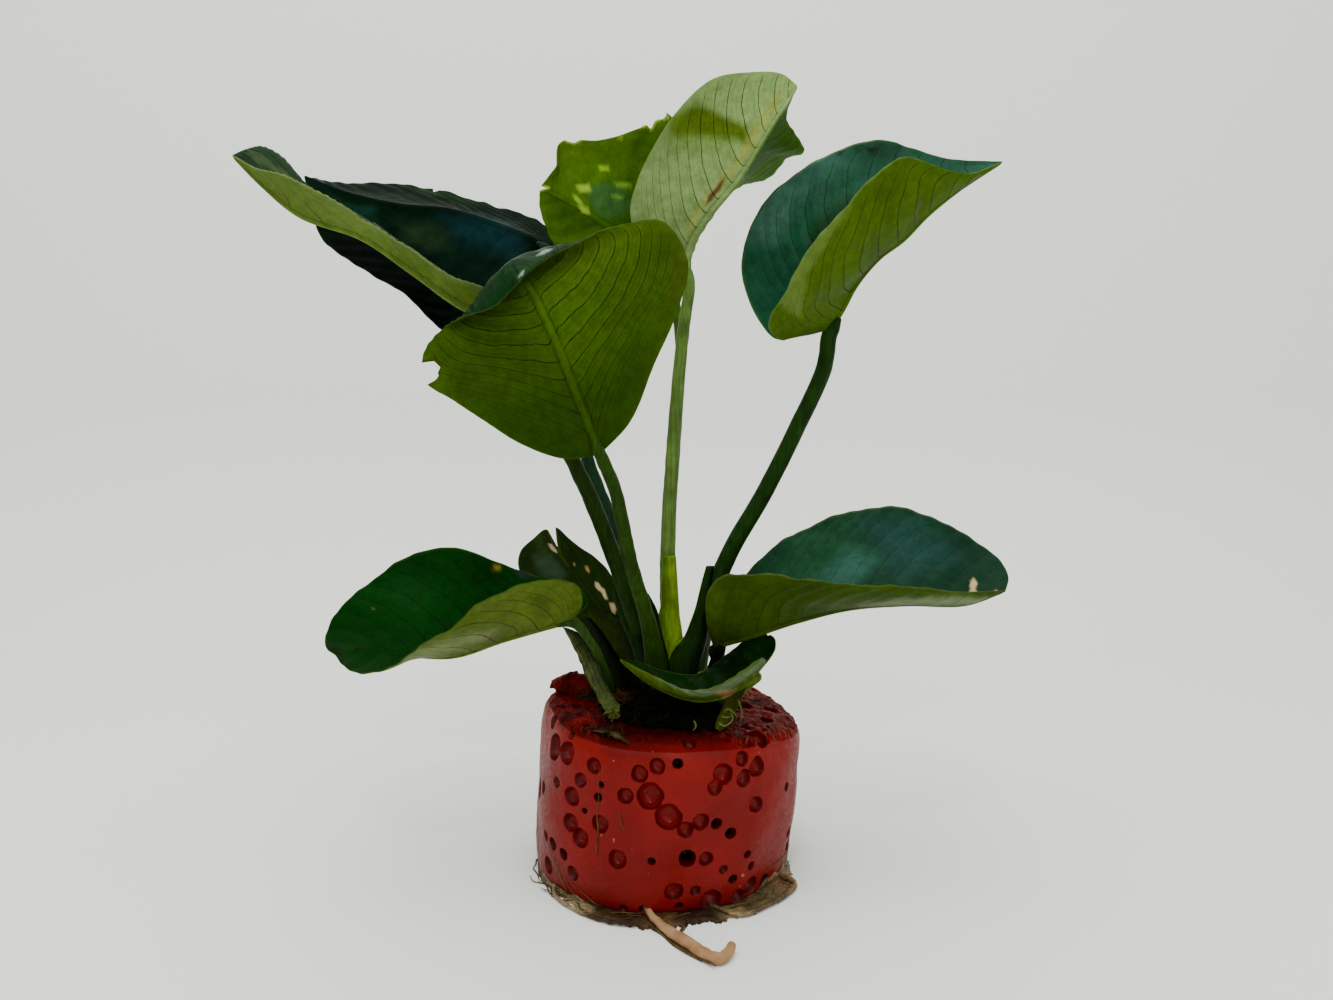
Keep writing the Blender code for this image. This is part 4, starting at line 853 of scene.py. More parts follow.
def linear(colour):
    """A colour given as it looks on a screen, 0 to 255, as the light that the shader needs."""
    values = [c / 255 for c in colour]
    return tuple(v / 12.92 if v <= 0.04045 else ((v + 0.055) / 1.055) ** 2.4 for v in values)


def shade_of(name):
    """One of the stone's colours, as the shader needs it."""
    return (*linear(STONE_COLOURS[name]), 1.0)


def rail(points, count):
    """Points of a smooth curve through given points, from the first to the last."""
    places = np.array(points, float)
    steps = np.linalg.norm(np.diff(places, axis=0), axis=1) ** KNOT_POWER
    knots = np.concatenate([[0.0], np.cumsum(steps)])
    slopes = np.empty_like(places)
    chords = np.diff(places, axis=0) / np.diff(knots)[:, None]
    slopes[0] = chords[0]
    slopes[-1] = chords[-1]
    for i in range(1, len(places) - 1):
        span = knots[i + 1] - knots[i - 1]
        slopes[i] = chords[i - 1] * (knots[i + 1] - knots[i]) / span
        slopes[i] += chords[i] * (knots[i] - knots[i - 1]) / span
    targets = np.linspace(0, knots[-1], count + 1)
    index = np.clip(np.searchsorted(knots, targets, side="right") - 1, 0, len(places) - 2)
    width = (knots[index + 1] - knots[index])[:, None]
    t = (targets - knots[index])[:, None] / width
    return (
        (2 * t**3 - 3 * t**2 + 1) * places[index]
        + (t**3 - 2 * t**2 + t) * width * slopes[index]
        + (3 * t**2 - 2 * t**3) * places[index + 1]
        + (t**3 - t**2) * width * slopes[index + 1]
    )


def unit(vectors):
    """The same directions with a length of one."""
    return vectors / np.maximum(np.linalg.norm(vectors, axis=-1, keepdims=True), 1e-9)


def smooth_step(low, high, value):
    """Share from 0 to 1 as a value goes smoothly from low to high."""
    share = np.clip((value - low) / (high - low), 0, 1)
    return share * share * (3 - 2 * share)


def noise_at(points, size, seed=0.0):
    """Smooth noise between about -1 and 1 at each point of an array of points."""
    shift = Vector((seed * 7.1, seed * 3.3, seed * 5.7))
    flat = points.reshape(-1, 3) / size
    values = [noise.noise(Vector(p) + shift) for p in flat]
    return np.array(values).reshape(points.shape[:-1])


def relief(points, depth_and_size, seed=0.0):
    """Smooth relief of a given depth and size of lump at each point."""
    depth, size = depth_and_size
    return depth * noise_at(points, size, seed)


def view_axes():
    """Directions into the photograph and down it."""
    tilt = math.radians(CAMERA_TILT)
    forward = np.array([0, math.cos(tilt), -math.sin(tilt)])
    return forward, np.array([0, -math.sin(tilt), -math.cos(tilt)])


def photo_pixels(points):
    """Where points in millimetres fall in the photograph."""
    forward, down = view_axes()
    ray = points - np.array(CAMERA_PLACE)
    depth = ray @ forward
    across = PHOTO_WIDTH / 2 + FOCAL_PIXELS * ray[..., 0] / depth
    return np.stack([across, PHOTO_HEIGHT / 2 + FOCAL_PIXELS * (ray @ down) / depth], -1)


def seen_at(pixel, y):
    """Point in millimetres that the photograph shows at a pixel, at a given y."""
    forward, down = view_axes()
    offset = (np.array(pixel, float) - (PHOTO_WIDTH / 2, PHOTO_HEIGHT / 2)) / FOCAL_PIXELS
    ray = np.array([offset[0], 0, 0]) + forward + down * offset[1]
    return np.array(CAMERA_PLACE) + ray * (y - CAMERA_PLACE[1]) / ray[1]


def new_piece(name, points, faces, material, slot, replaced, attributes=None, groups=None):
    """A piece of the plant from points in millimetres, riding on the one body."""
    mesh = bpy.data.meshes.new(name)
    mesh.from_pydata((points * MM).tolist(), [], faces)
    for title, values in (attributes or {}).items():
        kind = 'FLOAT_COLOR' if values.shape[1] == 4 else 'FLOAT_VECTOR'
        field = 'color' if values.shape[1] == 4 else 'vector'
        layer = mesh.attributes.new(title, kind, 'POINT')
        layer.data.foreach_set(field, values.astype(np.float32).ravel())
    for item in material if isinstance(material, (list, tuple)) else [material]:
        mesh.materials.append(item)
    if groups is not None:
        mesh.polygons.foreach_set("material_index", groups)
    mesh.shade_smooth()
    mesh.validate()
    mesh.update()
    piece = bpy.data.objects.new(name, mesh)
    bpy.context.scene.collection.objects.link(piece)
    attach(piece, "root")
    if replaced:
        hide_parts(*replaced)
    return piece


# Materials


class Tree:
    """Short way to write a material's nodes."""

    def __init__(self, name):
        self.material = bpy.data.materials.new(name)
        self.material.use_nodes = True
        self.nodes = self.material.node_tree.nodes
        self.shader = self.nodes["Principled BSDF"]

    def join(self, source, target):
        self.material.node_tree.links.new(source, target)

    def put(self, value, socket):
        if isinstance(value, bpy.types.NodeSocket):
            self.join(value, socket)
        else:
            socket.default_value = value

    def math(self, operation, first, second=0.0):
        node = self.nodes.new("ShaderNodeMath")
        node.operation = operation
        self.put(first, node.inputs[0])
        self.put(second, node.inputs[1])
        return node.outputs[0]

    def times(self, *values):
        """Product of several values."""
        product = values[0]
        for value in values[1:]:
            product = self.math('MULTIPLY', product, value)
        return product

    def ramp(self, value, low, high, bottom=0.0, top=1.0):
        """Smooth step from one value to another while the input goes from low to high."""
        node = self.nodes.new("ShaderNodeMapRange")
        node.interpolation_type = 'SMOOTHSTEP'
        for socket, item in zip(node.inputs, (value, low, high, bottom, top)):
            self.put(item, socket)
        return node.outputs[0]

    def between(self, value, ends):
        """Share that is full between two ends, each given as where it starts and is full."""
        return self.times(*(self.ramp(value, *end) for end in ends))

    def mix(self, share, first, second, blend='MIX'):
        node = self.nodes.new("ShaderNodeMix")
        node.data_type = 'RGBA'
        node.blend_type = blend
        self.put(share, node.inputs["Factor"])
        self.put(first, node.inputs[6])
        self.put(second, node.inputs[7])
        return node.outputs[2]

    def layers(self, colour, pairs):
        """A colour with others of the stone's colours laid over it, each by its share."""
        for share, name in pairs:
            colour = self.mix(share, colour, shade_of(name))
        return colour

    def tinted(self, shade):
        """The tone stored on each point, made lighter or darker by a shade."""
        joined = self.nodes.new("ShaderNodeCombineColor")
        for socket in joined.inputs:
            self.join(shade, socket)
        return self.mix(1.0, self.attribute("tone", "Color"), joined.outputs[0], 'MULTIPLY')

    def noise(self, scale, detail=3.0, roughness=0.55, stretch=None):
        node = self.nodes.new("ShaderNodeTexNoise")
        for title, value in (("Scale", scale), ("Detail", detail), ("Roughness", roughness)):
            node.inputs[title].default_value = value
        coordinates = self.place()
        if stretch:
            mapping = self.nodes.new("ShaderNodeMapping")
            mapping.inputs["Scale"].default_value = stretch
            self.join(coordinates, mapping.inputs["Vector"])
            coordinates = mapping.outputs["Vector"]
        self.join(coordinates, node.inputs["Vector"])
        return node.outputs["Fac"]

    def place(self):
        return self.nodes.new("ShaderNodeTexCoord").outputs["Object"]

    def attribute(self, name, output):
        node = self.nodes.new("ShaderNodeAttribute")
        node.attribute_name = name
        return node.outputs[output]

    def split(self, vector):
        node = self.nodes.new("ShaderNodeSeparateXYZ")
        self.join(vector, node.inputs[0])
        return node.outputs

    def bump(self, height, distance):
        node = self.nodes.new("ShaderNodeBump")
        node.inputs["Distance"].default_value = distance
        self.join(height, node.inputs["Height"])
        self.join(node.outputs["Normal"], self.shader.inputs["Normal"])
        return node.outputs["Normal"]

    def surface(self, colour, roughness, specular):
        self.put(colour, self.shader.inputs["Base Color"])
        self.put(roughness, self.shader.inputs["Roughness"])
        if specular is not None:
            self.shader.inputs["Specular IOR Level"].default_value = specular

    def let_light_through(self, colour, share, normal):
        """Mixes in light that falls on the other side."""
        through = self.nodes.new("ShaderNodeBsdfTranslucent")
        self.join(colour, through.inputs["Color"])
        self.join(normal, through.inputs["Normal"])
        blend = self.nodes.new("ShaderNodeMixShader")
        blend.inputs["Fac"].default_value = share
        self.join(self.shader.outputs[0], blend.inputs[1])
        self.join(through.outputs[0], blend.inputs[2])
        self.join(blend.outputs[0], self.nodes["Material Output"].inputs["Surface"])


def vein_lines(tree):
    """Dark side veins with finer ones between, drawn from the phase stored on each point."""
    phase, fade, share = tree.split(tree.attribute("veins", "Vector"))
    lines = []
    for repeat, width, strength in VEIN_LINES:
        turn = tree.math('FRACT', tree.times(phase, repeat))
        near = tree.math('ABSOLUTE', tree.math('SUBTRACT', turn, 0.5))
        lines.append(tree.times(tree.ramp(near, width, 0.3 * width), strength))
    broken = tree.ramp(tree.noise(700, 2.0), 0.2, 0.5, 0.55, 1.0)
    return tree.times(tree.math('MAXIMUM', *lines), fade, share, broken)


def leaf_material(name):
    """Mottled skin with dark veins that lets some light through."""
    roughness, vein_share, bump_size, through_share, through_gain, specular = LEAF_SKINS[name]
    tree = Tree(name)
    veins = tree.times(vein_lines(tree), vein_share)
    mottle = tree.noise(420, 4.0)
    grain = tree.noise(2600, 2.0)
    shade = tree.times(
        tree.ramp(mottle, *MIDDLE, 0.84, 1.14), tree.ramp(grain, *MIDDLE, 0.9, 1.1),
        tree.ramp(veins, 0.0, 1.0, 1.0, VEIN_SHADE),
    )
    colour = tree.tinted(shade)
    height = tree.math('SUBTRACT', tree.times(mottle, 0.8), tree.times(veins, 0.7))
    normal = tree.bump(tree.math('ADD', height, tree.times(grain, 0.12)), bump_size)
    rough = tree.ramp(mottle, 0.25, 0.75, roughness - 0.06, roughness + 0.08)
    gloss = tree.attribute("tone", "Alpha")
    tree.surface(colour, tree.math('SUBTRACT', rough, tree.times(gloss, 0.2)), specular)
    gained = tree.mix(1.0, colour, (*through_gain, 1.0), 'MULTIPLY')
    tree.let_light_through(gained, through_share, normal)
    return tree.material


def stalk_material():
    """Smooth skin with fine fibres along it."""
    tree = Tree("stalk_skin")
    fibre = tree.noise(1300, 3.0, 0.6, (1.0, 1.0, 0.05))
    spots = tree.noise(260, 3.0)
    shade = tree.times(tree.ramp(fibre, *MIDDLE, 0.72, 1.25), tree.ramp(spots, *MIDDLE, 0.85, 1.15))
    tree.surface(tree.tinted(shade), tree.ramp(spots, *MIDDLE, 0.36, 0.5), STALK_SPECULAR)
    tree.bump(tree.math('ADD', fibre, tree.times(spots, 0.6)), 0.00016)
    return tree.material


def fibre_material(name):
    """Matt fibres in two colours."""
    colour, dark, roughness, bump_size = FIBRES[name]
    tree = Tree(name)
    fibre = tree.noise(1100, 4.0, 0.65)
    blotch = tree.noise(300, 3.0)
    mixed = tree.mix(tree.ramp(blotch, 0.35, 0.7), (*linear(colour), 1.0), (*linear(dark), 1.0))
    tree.surface(mixed, tree.ramp(fibre, *MIDDLE, roughness - 0.1, roughness + 0.1), FIBRE_SPECULAR)
    tree.bump(tree.math('ADD', fibre, tree.times(blotch, 0.7)), bump_size)
    return tree.material


def toned_material(name):
    """Fibres that take their colour from the tone stored on each point."""
    roughness, bump_size = TONED_FIBRES[name]
    tree = Tree(name)
    fibre = tree.noise(1300, 4.0, 0.65)
    blotch = tree.noise(380, 3.0)
    shade = tree.times(tree.ramp(fibre, *MIDDLE, 0.6, 1.3), tree.ramp(blotch, *MIDDLE, 0.65, 1.25))
    rough = tree.ramp(blotch, *MIDDLE, roughness - 0.1, roughness + 0.1)
    tree.surface(tree.tinted(shade), rough, FILM_SPECULAR)
    tree.bump(tree.math('ADD', fibre, tree.times(blotch, 0.7)), bump_size)
    return tree.material


def stone_material(name):
    """Red glaze with pale flecks, a crust with painted sheen and shade, and pits painted dark as shade."""
    specular, wet = STONE_SKINS[name]
    tree = Tree(name)
    depth, crust, pit_shadow = tree.split(tree.attribute("stone_place", "Vector"))
    east, north, height = tree.split(tree.place())
    cloud = tree.noise(60, 4.0)
    speck = tree.noise(1100, 3.0)
    smear = tree.noise(240, 4.0, 0.6, (1.0, 1.0, 0.35))
    fleck = tree.noise(520, 1.0)
    streak = tree.noise(1500, 3.0, 0.6, (1.0, 0.22, 0.5))
    upper_part = tree.times(tree.ramp(height, *ORANGE_HEIGHTS), tree.ramp(cloud, 0.25, 0.55, 0.35, 0.95))
    glaze = tree.layers(shade_of("stone_deep"), [
        (tree.ramp(cloud, 0.35, 0.7), "stone_red"),
        (upper_part, "stone_orange"),
        (tree.ramp(smear, 0.5, 0.8, 0.0, 0.45), "stone_deep"),
        (tree.ramp(fleck, 0.76, 0.8, 0.0, 0.6), "stone_fleck"),
    ])
    # Painted shade: the crust in the middle of the top and the top's front edge turn dark
    shaded = tree.times(tree.between(east, SHADE_EAST), tree.ramp(height, *SHADE_HEIGHTS))
    crusty = tree.math('SUBTRACT', tree.ramp(smear, *MIDDLE), tree.times(shaded, 0.8))
    # Painted sheen: pale streaks on the crust, weaker towards its left
    sheen = tree.times(tree.ramp(streak, 0.5, 0.66, 0.0, 0.75), tree.ramp(east, 0.004, 0.02, 0.25, 1.0))
    rough_top = tree.layers(shade_of("crust_dark_and_shade"), [(crusty, "crust_red"), (sheen, "crust_streak_sheen")])
    front_shade = tree.times(tree.between(east, FRONT_SHADE_EAST), tree.ramp(height, *FRONT_SHADE_HEIGHTS, 0.0, 0.75))
    colour = tree.layers(tree.mix(crust, glaze, rough_top), [
        (tree.times(front_shade, tree.between(north, FRONT_SHADE_NORTH)), "crust_dark_and_shade"),
        # Painted shade in the pits, darker with depth, and black shadow in the deep ones
        (tree.ramp(depth, 0.0, 0.12), "pit_shade"),
        (tree.ramp(depth, 0.35, 0.75), "pit_red"),
        (tree.times(tree.ramp(depth, 0.0, 0.3), pit_shadow), "pit_shadow_black"),
    ])
    tree.surface(colour, tree.ramp(speck, *MIDDLE, 0.36 - wet, 0.55 - wet), specular)
    grain = tree.math('ADD', tree.times(smear, 0.6), tree.times(speck, 0.3))
    tree.bump(tree.math('ADD', grain, tree.times(streak, crust, 2.2)), 0.00022)
    return tree.material


# Leaves


def column_places():
    """Places of the grid's columns in one half of a blade, 0 at the midrib and 1 at the edge."""
    return np.linspace(0, 1, HALF_COLUMNS + 1) ** COLUMN_POWER


def blade_sheet(leaf):
    """Middle sheet of a blade as a grid of points, with the direction out of its upper face."""
    midrib = rail(leaf["midrib"], BLADE_ROWS)
    edges = (rail(leaf["left"], BLADE_ROWS), rail(leaf["right"], BLADE_ROWS))
    rows = np.arange(BLADE_ROWS + 1)
    ahead = np.minimum(rows + FACING_ROWS, BLADE_ROWS)
    behind = np.maximum(rows - FACING_ROWS, 0)
    along = midrib[ahead] - midrib[behind]
    swell = np.sin(np.pi * np.linspace(0, 1, BLADE_ROWS + 1))[:, None]
    u = column_places()[None, :, None]
    halves = []
    for edge, arch, sign in zip(edges, leaf["arch"], (1, -1)):
        across = edge - midrib
        upward = unit(np.cross(along, across) * sign)
        control = midrib + across * 0.5 + upward * 2 * arch * swell
        half = (1 - u) ** 2 * midrib[:, None] + 2 * u * (1 - u) * control[:, None] + u * u * edge[:, None]
        halves.append(half)
    sheet = np.concatenate([halves[0][:, :0:-1], halves[1]], axis=1)
    normals = unit(np.cross(np.gradient(sheet, axis=1), np.gradient(sheet, axis=0)))
    normals[0] = unit(normals[1:4].mean((0, 1)))
    normals[-1] = unit(normals[-4:-1].mean((0, 1)))
    return sheet, normals


def blade_places():
    """Place of each grid point across the blade, -1 to 1, and along it, 0 to 1."""
    u = column_places()
    return np.meshgrid(np.concatenate([-u[:0:-1], u]), np.linspace(0, 1, BLADE_ROWS + 1))


def vein_phase(across, along, finish, wobble):
    """Whole numbers and a half lie on a side vein, counted from the base along the midrib."""
    sweep = finish["sweep"] * np.abs(across) ** VEIN_POWER
    start = (along - sweep) / (1 - sweep)
    return (start + wobble) * finish["veins"] + 0.25 * np.clip(across * 20, -1, 1)


def outline_distance(points, outline):
    """Distance in pixels from points to a closed outline, negative inside it."""
    corners = np.array(outline, float)
    nearest = np.full(points.shape[:-1], FAR)
    inside = np.zeros(points.shape[:-1], bool)
    for a, b in zip(corners, np.roll(corners, -1, axis=0)):
        edge = b - a
        offset = points - a
        share = np.clip((offset @ edge) / (edge @ edge), 0, 1)
        nearest = np.minimum(nearest, np.linalg.norm(offset - share[..., None] * edge, axis=-1))
        crosses = (a[1] > points[..., 1]) != (b[1] > points[..., 1])
        slope = edge[0] / edge[1] if edge[1] else 0.0
        inside ^= crosses & (points[..., 0] < a[0] + (points[..., 1] - a[1]) * slope)
    return np.where(inside, -nearest, nearest)


def half_distance(pixels, half, outline):
    """The same distance, kept to one half of a blade."""
    distance = outline_distance(pixels, outline)
    if half == "left":
        distance[:, HALF_COLUMNS + 1:] = FAR
    if half == "right":
        distance[:, :HALF_COLUMNS] = FAR
    return distance


def kept_cells(cut):
    """Cells of the grid outside all cuts, with no two that touch only at a corner."""
    keep = (cut[:-1, :-1] + cut[1:, :-1] + cut[:-1, 1:] + cut[1:, 1:]) > 0
    for _ in range(3):
        a, b, c, d = keep[:-1, :-1], keep[:-1, 1:], keep[1:, :-1], keep[1:, 1:]
        rising = b & c & ~a & ~d
        falling = a & d & ~b & ~c
        fill = rising | falling
        keep[:-1, :-1] |= fill
        keep[1:, 1:] |= fill
        keep[:-1, 1:] |= fill
        keep[1:, :-1] |= fill
    return keep


def slide_to_cut(grids, cut, keep):
    """Move the points along the rim of a cut onto its outline."""
    touched = np.zeros(cut.shape, int)
    for di in (0, 1):
        for dj in (0, 1):
            rows, columns = keep.shape
            touched[di:di + rows, dj:dj + columns] += keep
    full = np.full(cut.shape, 4)
    full[[0, -1]] = 2
    full[:, [0, -1]] = 2
    rim = (touched > 0) & (touched < full) & (np.abs(cut) < FAR / 2)
    gi, gj = np.gradient(np.clip(cut, -20, 20))
    size = np.maximum(gi**2 + gj**2, 1e-6)
    di = np.where(rim, np.clip(-gi * cut / size, -0.7, 0.7), 0)[..., None]
    dj = np.where(rim, np.clip(-gj * cut / size, -0.7, 0.7), 0)[..., None]
    return [grid + di * np.gradient(grid, axis=0) + dj * np.gradient(grid, axis=1) for grid in grids]


def shell_faces(keep, rows, columns):
    """Faces of a closed shell between two grids whose first and last rows are single points."""
    index = np.empty((2, rows + 1, columns + 1), int)
    inner = np.arange((rows - 1) * (columns + 1)).reshape(rows - 1, columns + 1)
    size = inner.size + 2
    for side in (0, 1):
        index[side, 1:-1] = inner + side * size
        index[side, 0] = side * size + size - 2
        index[side, -1] = side * size + size - 1
    faces = []
    groups = []

    def add(corners, group):
        corners = list(dict.fromkeys(int(c) for c in corners))
        if len(corners) > 2:
            faces.append(corners)
            groups.append(group)

    # For each side of a cell, its two corners and the step to the cell beyond it
    steps = ((0, 0, 0, 1, -1, 0), (0, 1, 1, 1, 0, 1), (1, 1, 1, 0, 1, 0), (1, 0, 0, 0, 0, -1))
    for i in range(rows):
        for j in range(columns):
            if not keep[i, j]:
                continue
            ring = ((i, j), (i, j + 1), (i + 1, j + 1), (i + 1, j))
            add([index[(0, *c)] for c in ring], 0)
            add([index[(1, *c)] for c in ring[::-1]], 1)
            for ai, aj, bi, bj, di, dj in steps:
                ni, nj = i + di, j + dj
                inside = 0 <= ni < rows and 0 <= nj < columns and keep[ni, nj]
                if inside or (ni < 0 or ni >= rows):
                    continue
                a = (i + ai, j + aj)
                b = (i + bi, j + bj)
                add([index[(0, *b)], index[(0, *a)], index[(1, *a)], index[(1, *b)]], 1)
    return faces, groups


def shell_points(upper, lower):
    """Values of two grids in the order that the shell's faces count in."""
    parts = []
    for sheet in (upper, lower):
        parts += [sheet[1:-1].reshape(-1, sheet.shape[-1]), sheet[:1, 0], sheet[-1:, 0]]
    return np.concatenate(parts)


def face_tone(name, face, sheet, pixels, reach, cut, midrib, midrib_flank_shade, seed):
    """Base colour of each point of one face, with its gloss in the fourth value."""
    finish = dict(zip(FINISH_PARTS, LEAF_FINISH[name]))
    tone = np.empty((*reach.shape, 4))
    tone[..., :3] = linear(finish[face])
    mottle = 1 + relief(sheet, LEAF_MOTTLE, seed + (face == "under"))
    tone[..., :3] *= mottle[..., None]
    glossy = 0.5 + 0.8 * noise_at(sheet, 8.0, seed + 11)
    tone[..., 3] = np.clip(finish["gloss"] * glossy * (face == "upper"), 0, 1)

    def blend(colour, share):
        tone[..., :3] += (np.array(linear(colour)) - tone[..., :3]) * share[..., None]

    ragged = 2.0 * noise_at(sheet, 1.6, seed + 2)
    for side, half, outline, colour, share, soft in LEAF_PATCHES.get(name, []):
        if side == face:
            distance = half_distance(pixels, half, outline) + ragged * min(soft, 4) / 4
            blend(colour, share * smooth_step(soft, -soft, distance))
    base = np.array(finish[face])
    blend(base * 1.1 + 8, 0.18 * midrib)
    # Painted shade in the creases beside the midrib
    blend(base * 0.5, 0.5 * midrib_flank_shade)
    blend(finish["rim"], 0.6 * smooth_step(0.975, 0.995, reach))
    if name in TEAR_COLOURS:
        blend(TEAR_COLOURS[name], 0.9 * smooth_step(TEAR_WIDTH, 0.3 * TEAR_WIDTH, np.abs(cut)))
    return tone


def build_leaf(name, leaf, materials, seed):
    """Blade as a closed shell with veins, waves, bites and its colours, and its direction at the base."""
    finish = dict(zip(FINISH_PARTS, LEAF_FINISH[name]))
    sheet, normals = blade_sheet(leaf)
    across, along = blade_places()
    reach = np.abs(across)
    half_width = np.linalg.norm(sheet - sheet[:, HALF_COLUMNS][:, None], axis=-1)
    swell = np.sin(np.pi * along) ** 0.5
    wobble = relief(sheet, VEIN_WOBBLE, seed + 3) + relief(sheet, VEIN_TREMBLE, seed + 4)
    phase = vein_phase(across, along, finish, wobble)
    quilt = QUILT_DEPTH * np.cos(2 * np.pi * phase) * smooth_step(0.02, 0.2, reach) * swell
    wave = finish["wave"] * reach**3 * swell * noise_at(sheet, 7.0, seed)
    soft = relief(sheet, LEAF_WAVES, seed + 5) * swell * smooth_step(0.05, 0.3, reach)
    middle = sheet + normals * (quilt + wave + soft)[..., None]
    thick = (RIM_THICKNESS + (BLADE_THICKNESS - RIM_THICKNESS) * smooth_step(1.0, 0.9, reach)) / 2
    taper = 1 - 0.75 * along
    rib_place = half_width / (MIDRIB_WIDTH * (1.3 - 0.8 * along))
    ends = smooth_step(0.0, 0.02, along) * smooth_step(1.0, 0.98, along)
    midrib = np.exp(-rib_place**2)
    midrib_flank_shade = np.exp(-((rib_place - 1.8) / 0.5) ** 2)
    upper = middle + normals * (thick - GROOVE_DEPTH * taper * midrib * ends)[..., None]
    lower = middle - normals * (thick + MIDRIB_HEIGHT * taper * midrib * ends)[..., None]
    pixels = photo_pixels(middle)
    cut = np.full(across.shape, FAR)
    for half, outline in LEAF_CUTS.get(name, []):
        cut = np.minimum(cut, half_distance(pixels, half, outline))
    keep = kept_cells(cut)
    faces, groups = shell_faces(keep, BLADE_ROWS, 2 * HALF_COLUMNS)
    points = shell_points(*slide_to_cut((upper, lower), cut, keep))
    fade = smooth_step(1.0, 0.85, reach) * smooth_step(0.0, 0.03, reach)
    veins = np.stack([phase, fade, np.full_like(across, finish["vein_share"])], -1)
    tones = [
        face_tone(name, face, sheet, pixels, reach, cut, midrib * ends, midrib_flank_shade * ends, seed)
        for face in ("upper", "under")
    ]
    attributes = {"veins": shell_points(veins, veins), "tone": shell_points(*tones)}
    points, faces, attributes = drop_unused(points, faces, attributes)
    new_piece("blade_" + name, points, faces, materials, "leaf", ["leaf_" + name], attributes, groups)
    return normals[0, HALF_COLUMNS]


def drop_unused(points, faces, attributes):
    """Leave out the points that no face uses."""
    used = np.zeros(len(points), bool)
    for face in faces:
        used[face] = True
    order = np.cumsum(used) - 1
    faces = [[int(order[corner]) for corner in face] for face in faces]
    return points[used], faces, {title: values[used] for title, values in attributes.items()}


# Tubes and strips


def ring_quads(rings, sides, closed=False):
    """Faces between neighbouring rings of points, whose last ring meets the first if closed."""
    faces = []
    for i in range(rings if closed else rings - 1):
        here = i * sides
        there = (i + 1) % rings * sides
        for k in range(sides):
            m = (k + 1) % sides
            faces.append((here + k, here + m, there + m, there + k))
    return faces


def tube_faces(rings, sides):
    """Faces of a closed tube whose two end points follow its rings."""
    faces = ring_quads(rings, sides)
    last = (rings - 1) * sides
    for k in range(sides):
        m = (k + 1) % sides
        faces.append((m, k, rings * sides))
        faces.append((last + k, last + m, rings * sides + 1))
    return faces


def turned(faces):
    """The same faces, looking the other way."""
    return [face[:1] + face[:0:-1] for face in faces]


def tube_mesh(spine, radii, sides, squash=1.0):
    """Points and faces of a closed tube with rounded ends."""
    along = unit(np.gradient(spine, axis=0))
    side = np.cross(along[0], (0.3, 0.2, 0.9))
    turn = np.linspace(0, 2 * np.pi, sides, endpoint=False)
    rings = []
    for i in range(len(spine)):
        side = unit(side - along[i] * (side @ along[i]))
        other = np.cross(along[i], side)
        ring = np.cos(turn)[:, None] * side + squash * np.sin(turn)[:, None] * other
        rings.append(spine[i] + ring * radii[i])
    first = spine[0] - along[0] * radii[0] * 0.5
    last = spine[-1] + along[-1] * radii[-1] * 0.5
    return np.concatenate([np.concatenate(rings), [first, last]]), tube_faces(len(spine), sides)


def join_meshes(meshes):
    """Points and faces of several meshes as one."""
    points = []
    faces = []
    start = 0
    for part, part_faces in meshes:
        points.append(part)
        faces += [tuple(corner + start for corner in face) for face in part_faces]
        start += len(part)
    return np.concatenate(points), faces


def spread(values, count):
    """Values of a short list, read off at even steps along it."""
    return np.interp(np.linspace(0, len(values) - 1, count), np.arange(len(values)), values)


def path_length(path):
    """Length of the straight steps between a path's points."""
    return sum(np.linalg.norm(np.subtract(b, a)) for a, b in zip(path, path[1:]))


def above_floor(points):
    """Lift the points that would lie in the floor."""
    points[..., 2] = np.maximum(points[..., 2], FLOOR_CLEARANCE)
    return points


def lumpy_tube(path, radii, sides, roughness, seed, squash=1.0):
    """Points and faces of a lumpy tube along a given path."""
    count = max(8, int(path_length(path) / ROOT_STEP))
    points, faces = tube_mesh(rail(path, count), spread(radii, count + 1), sides, squash)
    points += relief(points, (roughness, ROOT_LUMPS), seed)[:, None]
    return above_floor(points), faces


def tone_layer(points, colour, variation, size, seed):
    tone = np.ones((len(points), 4))
    shade = 1 + variation * noise_at(points, size, seed)
    tone[:, :3] = np.array(linear(colour)) * shade[:, None]
    return tone


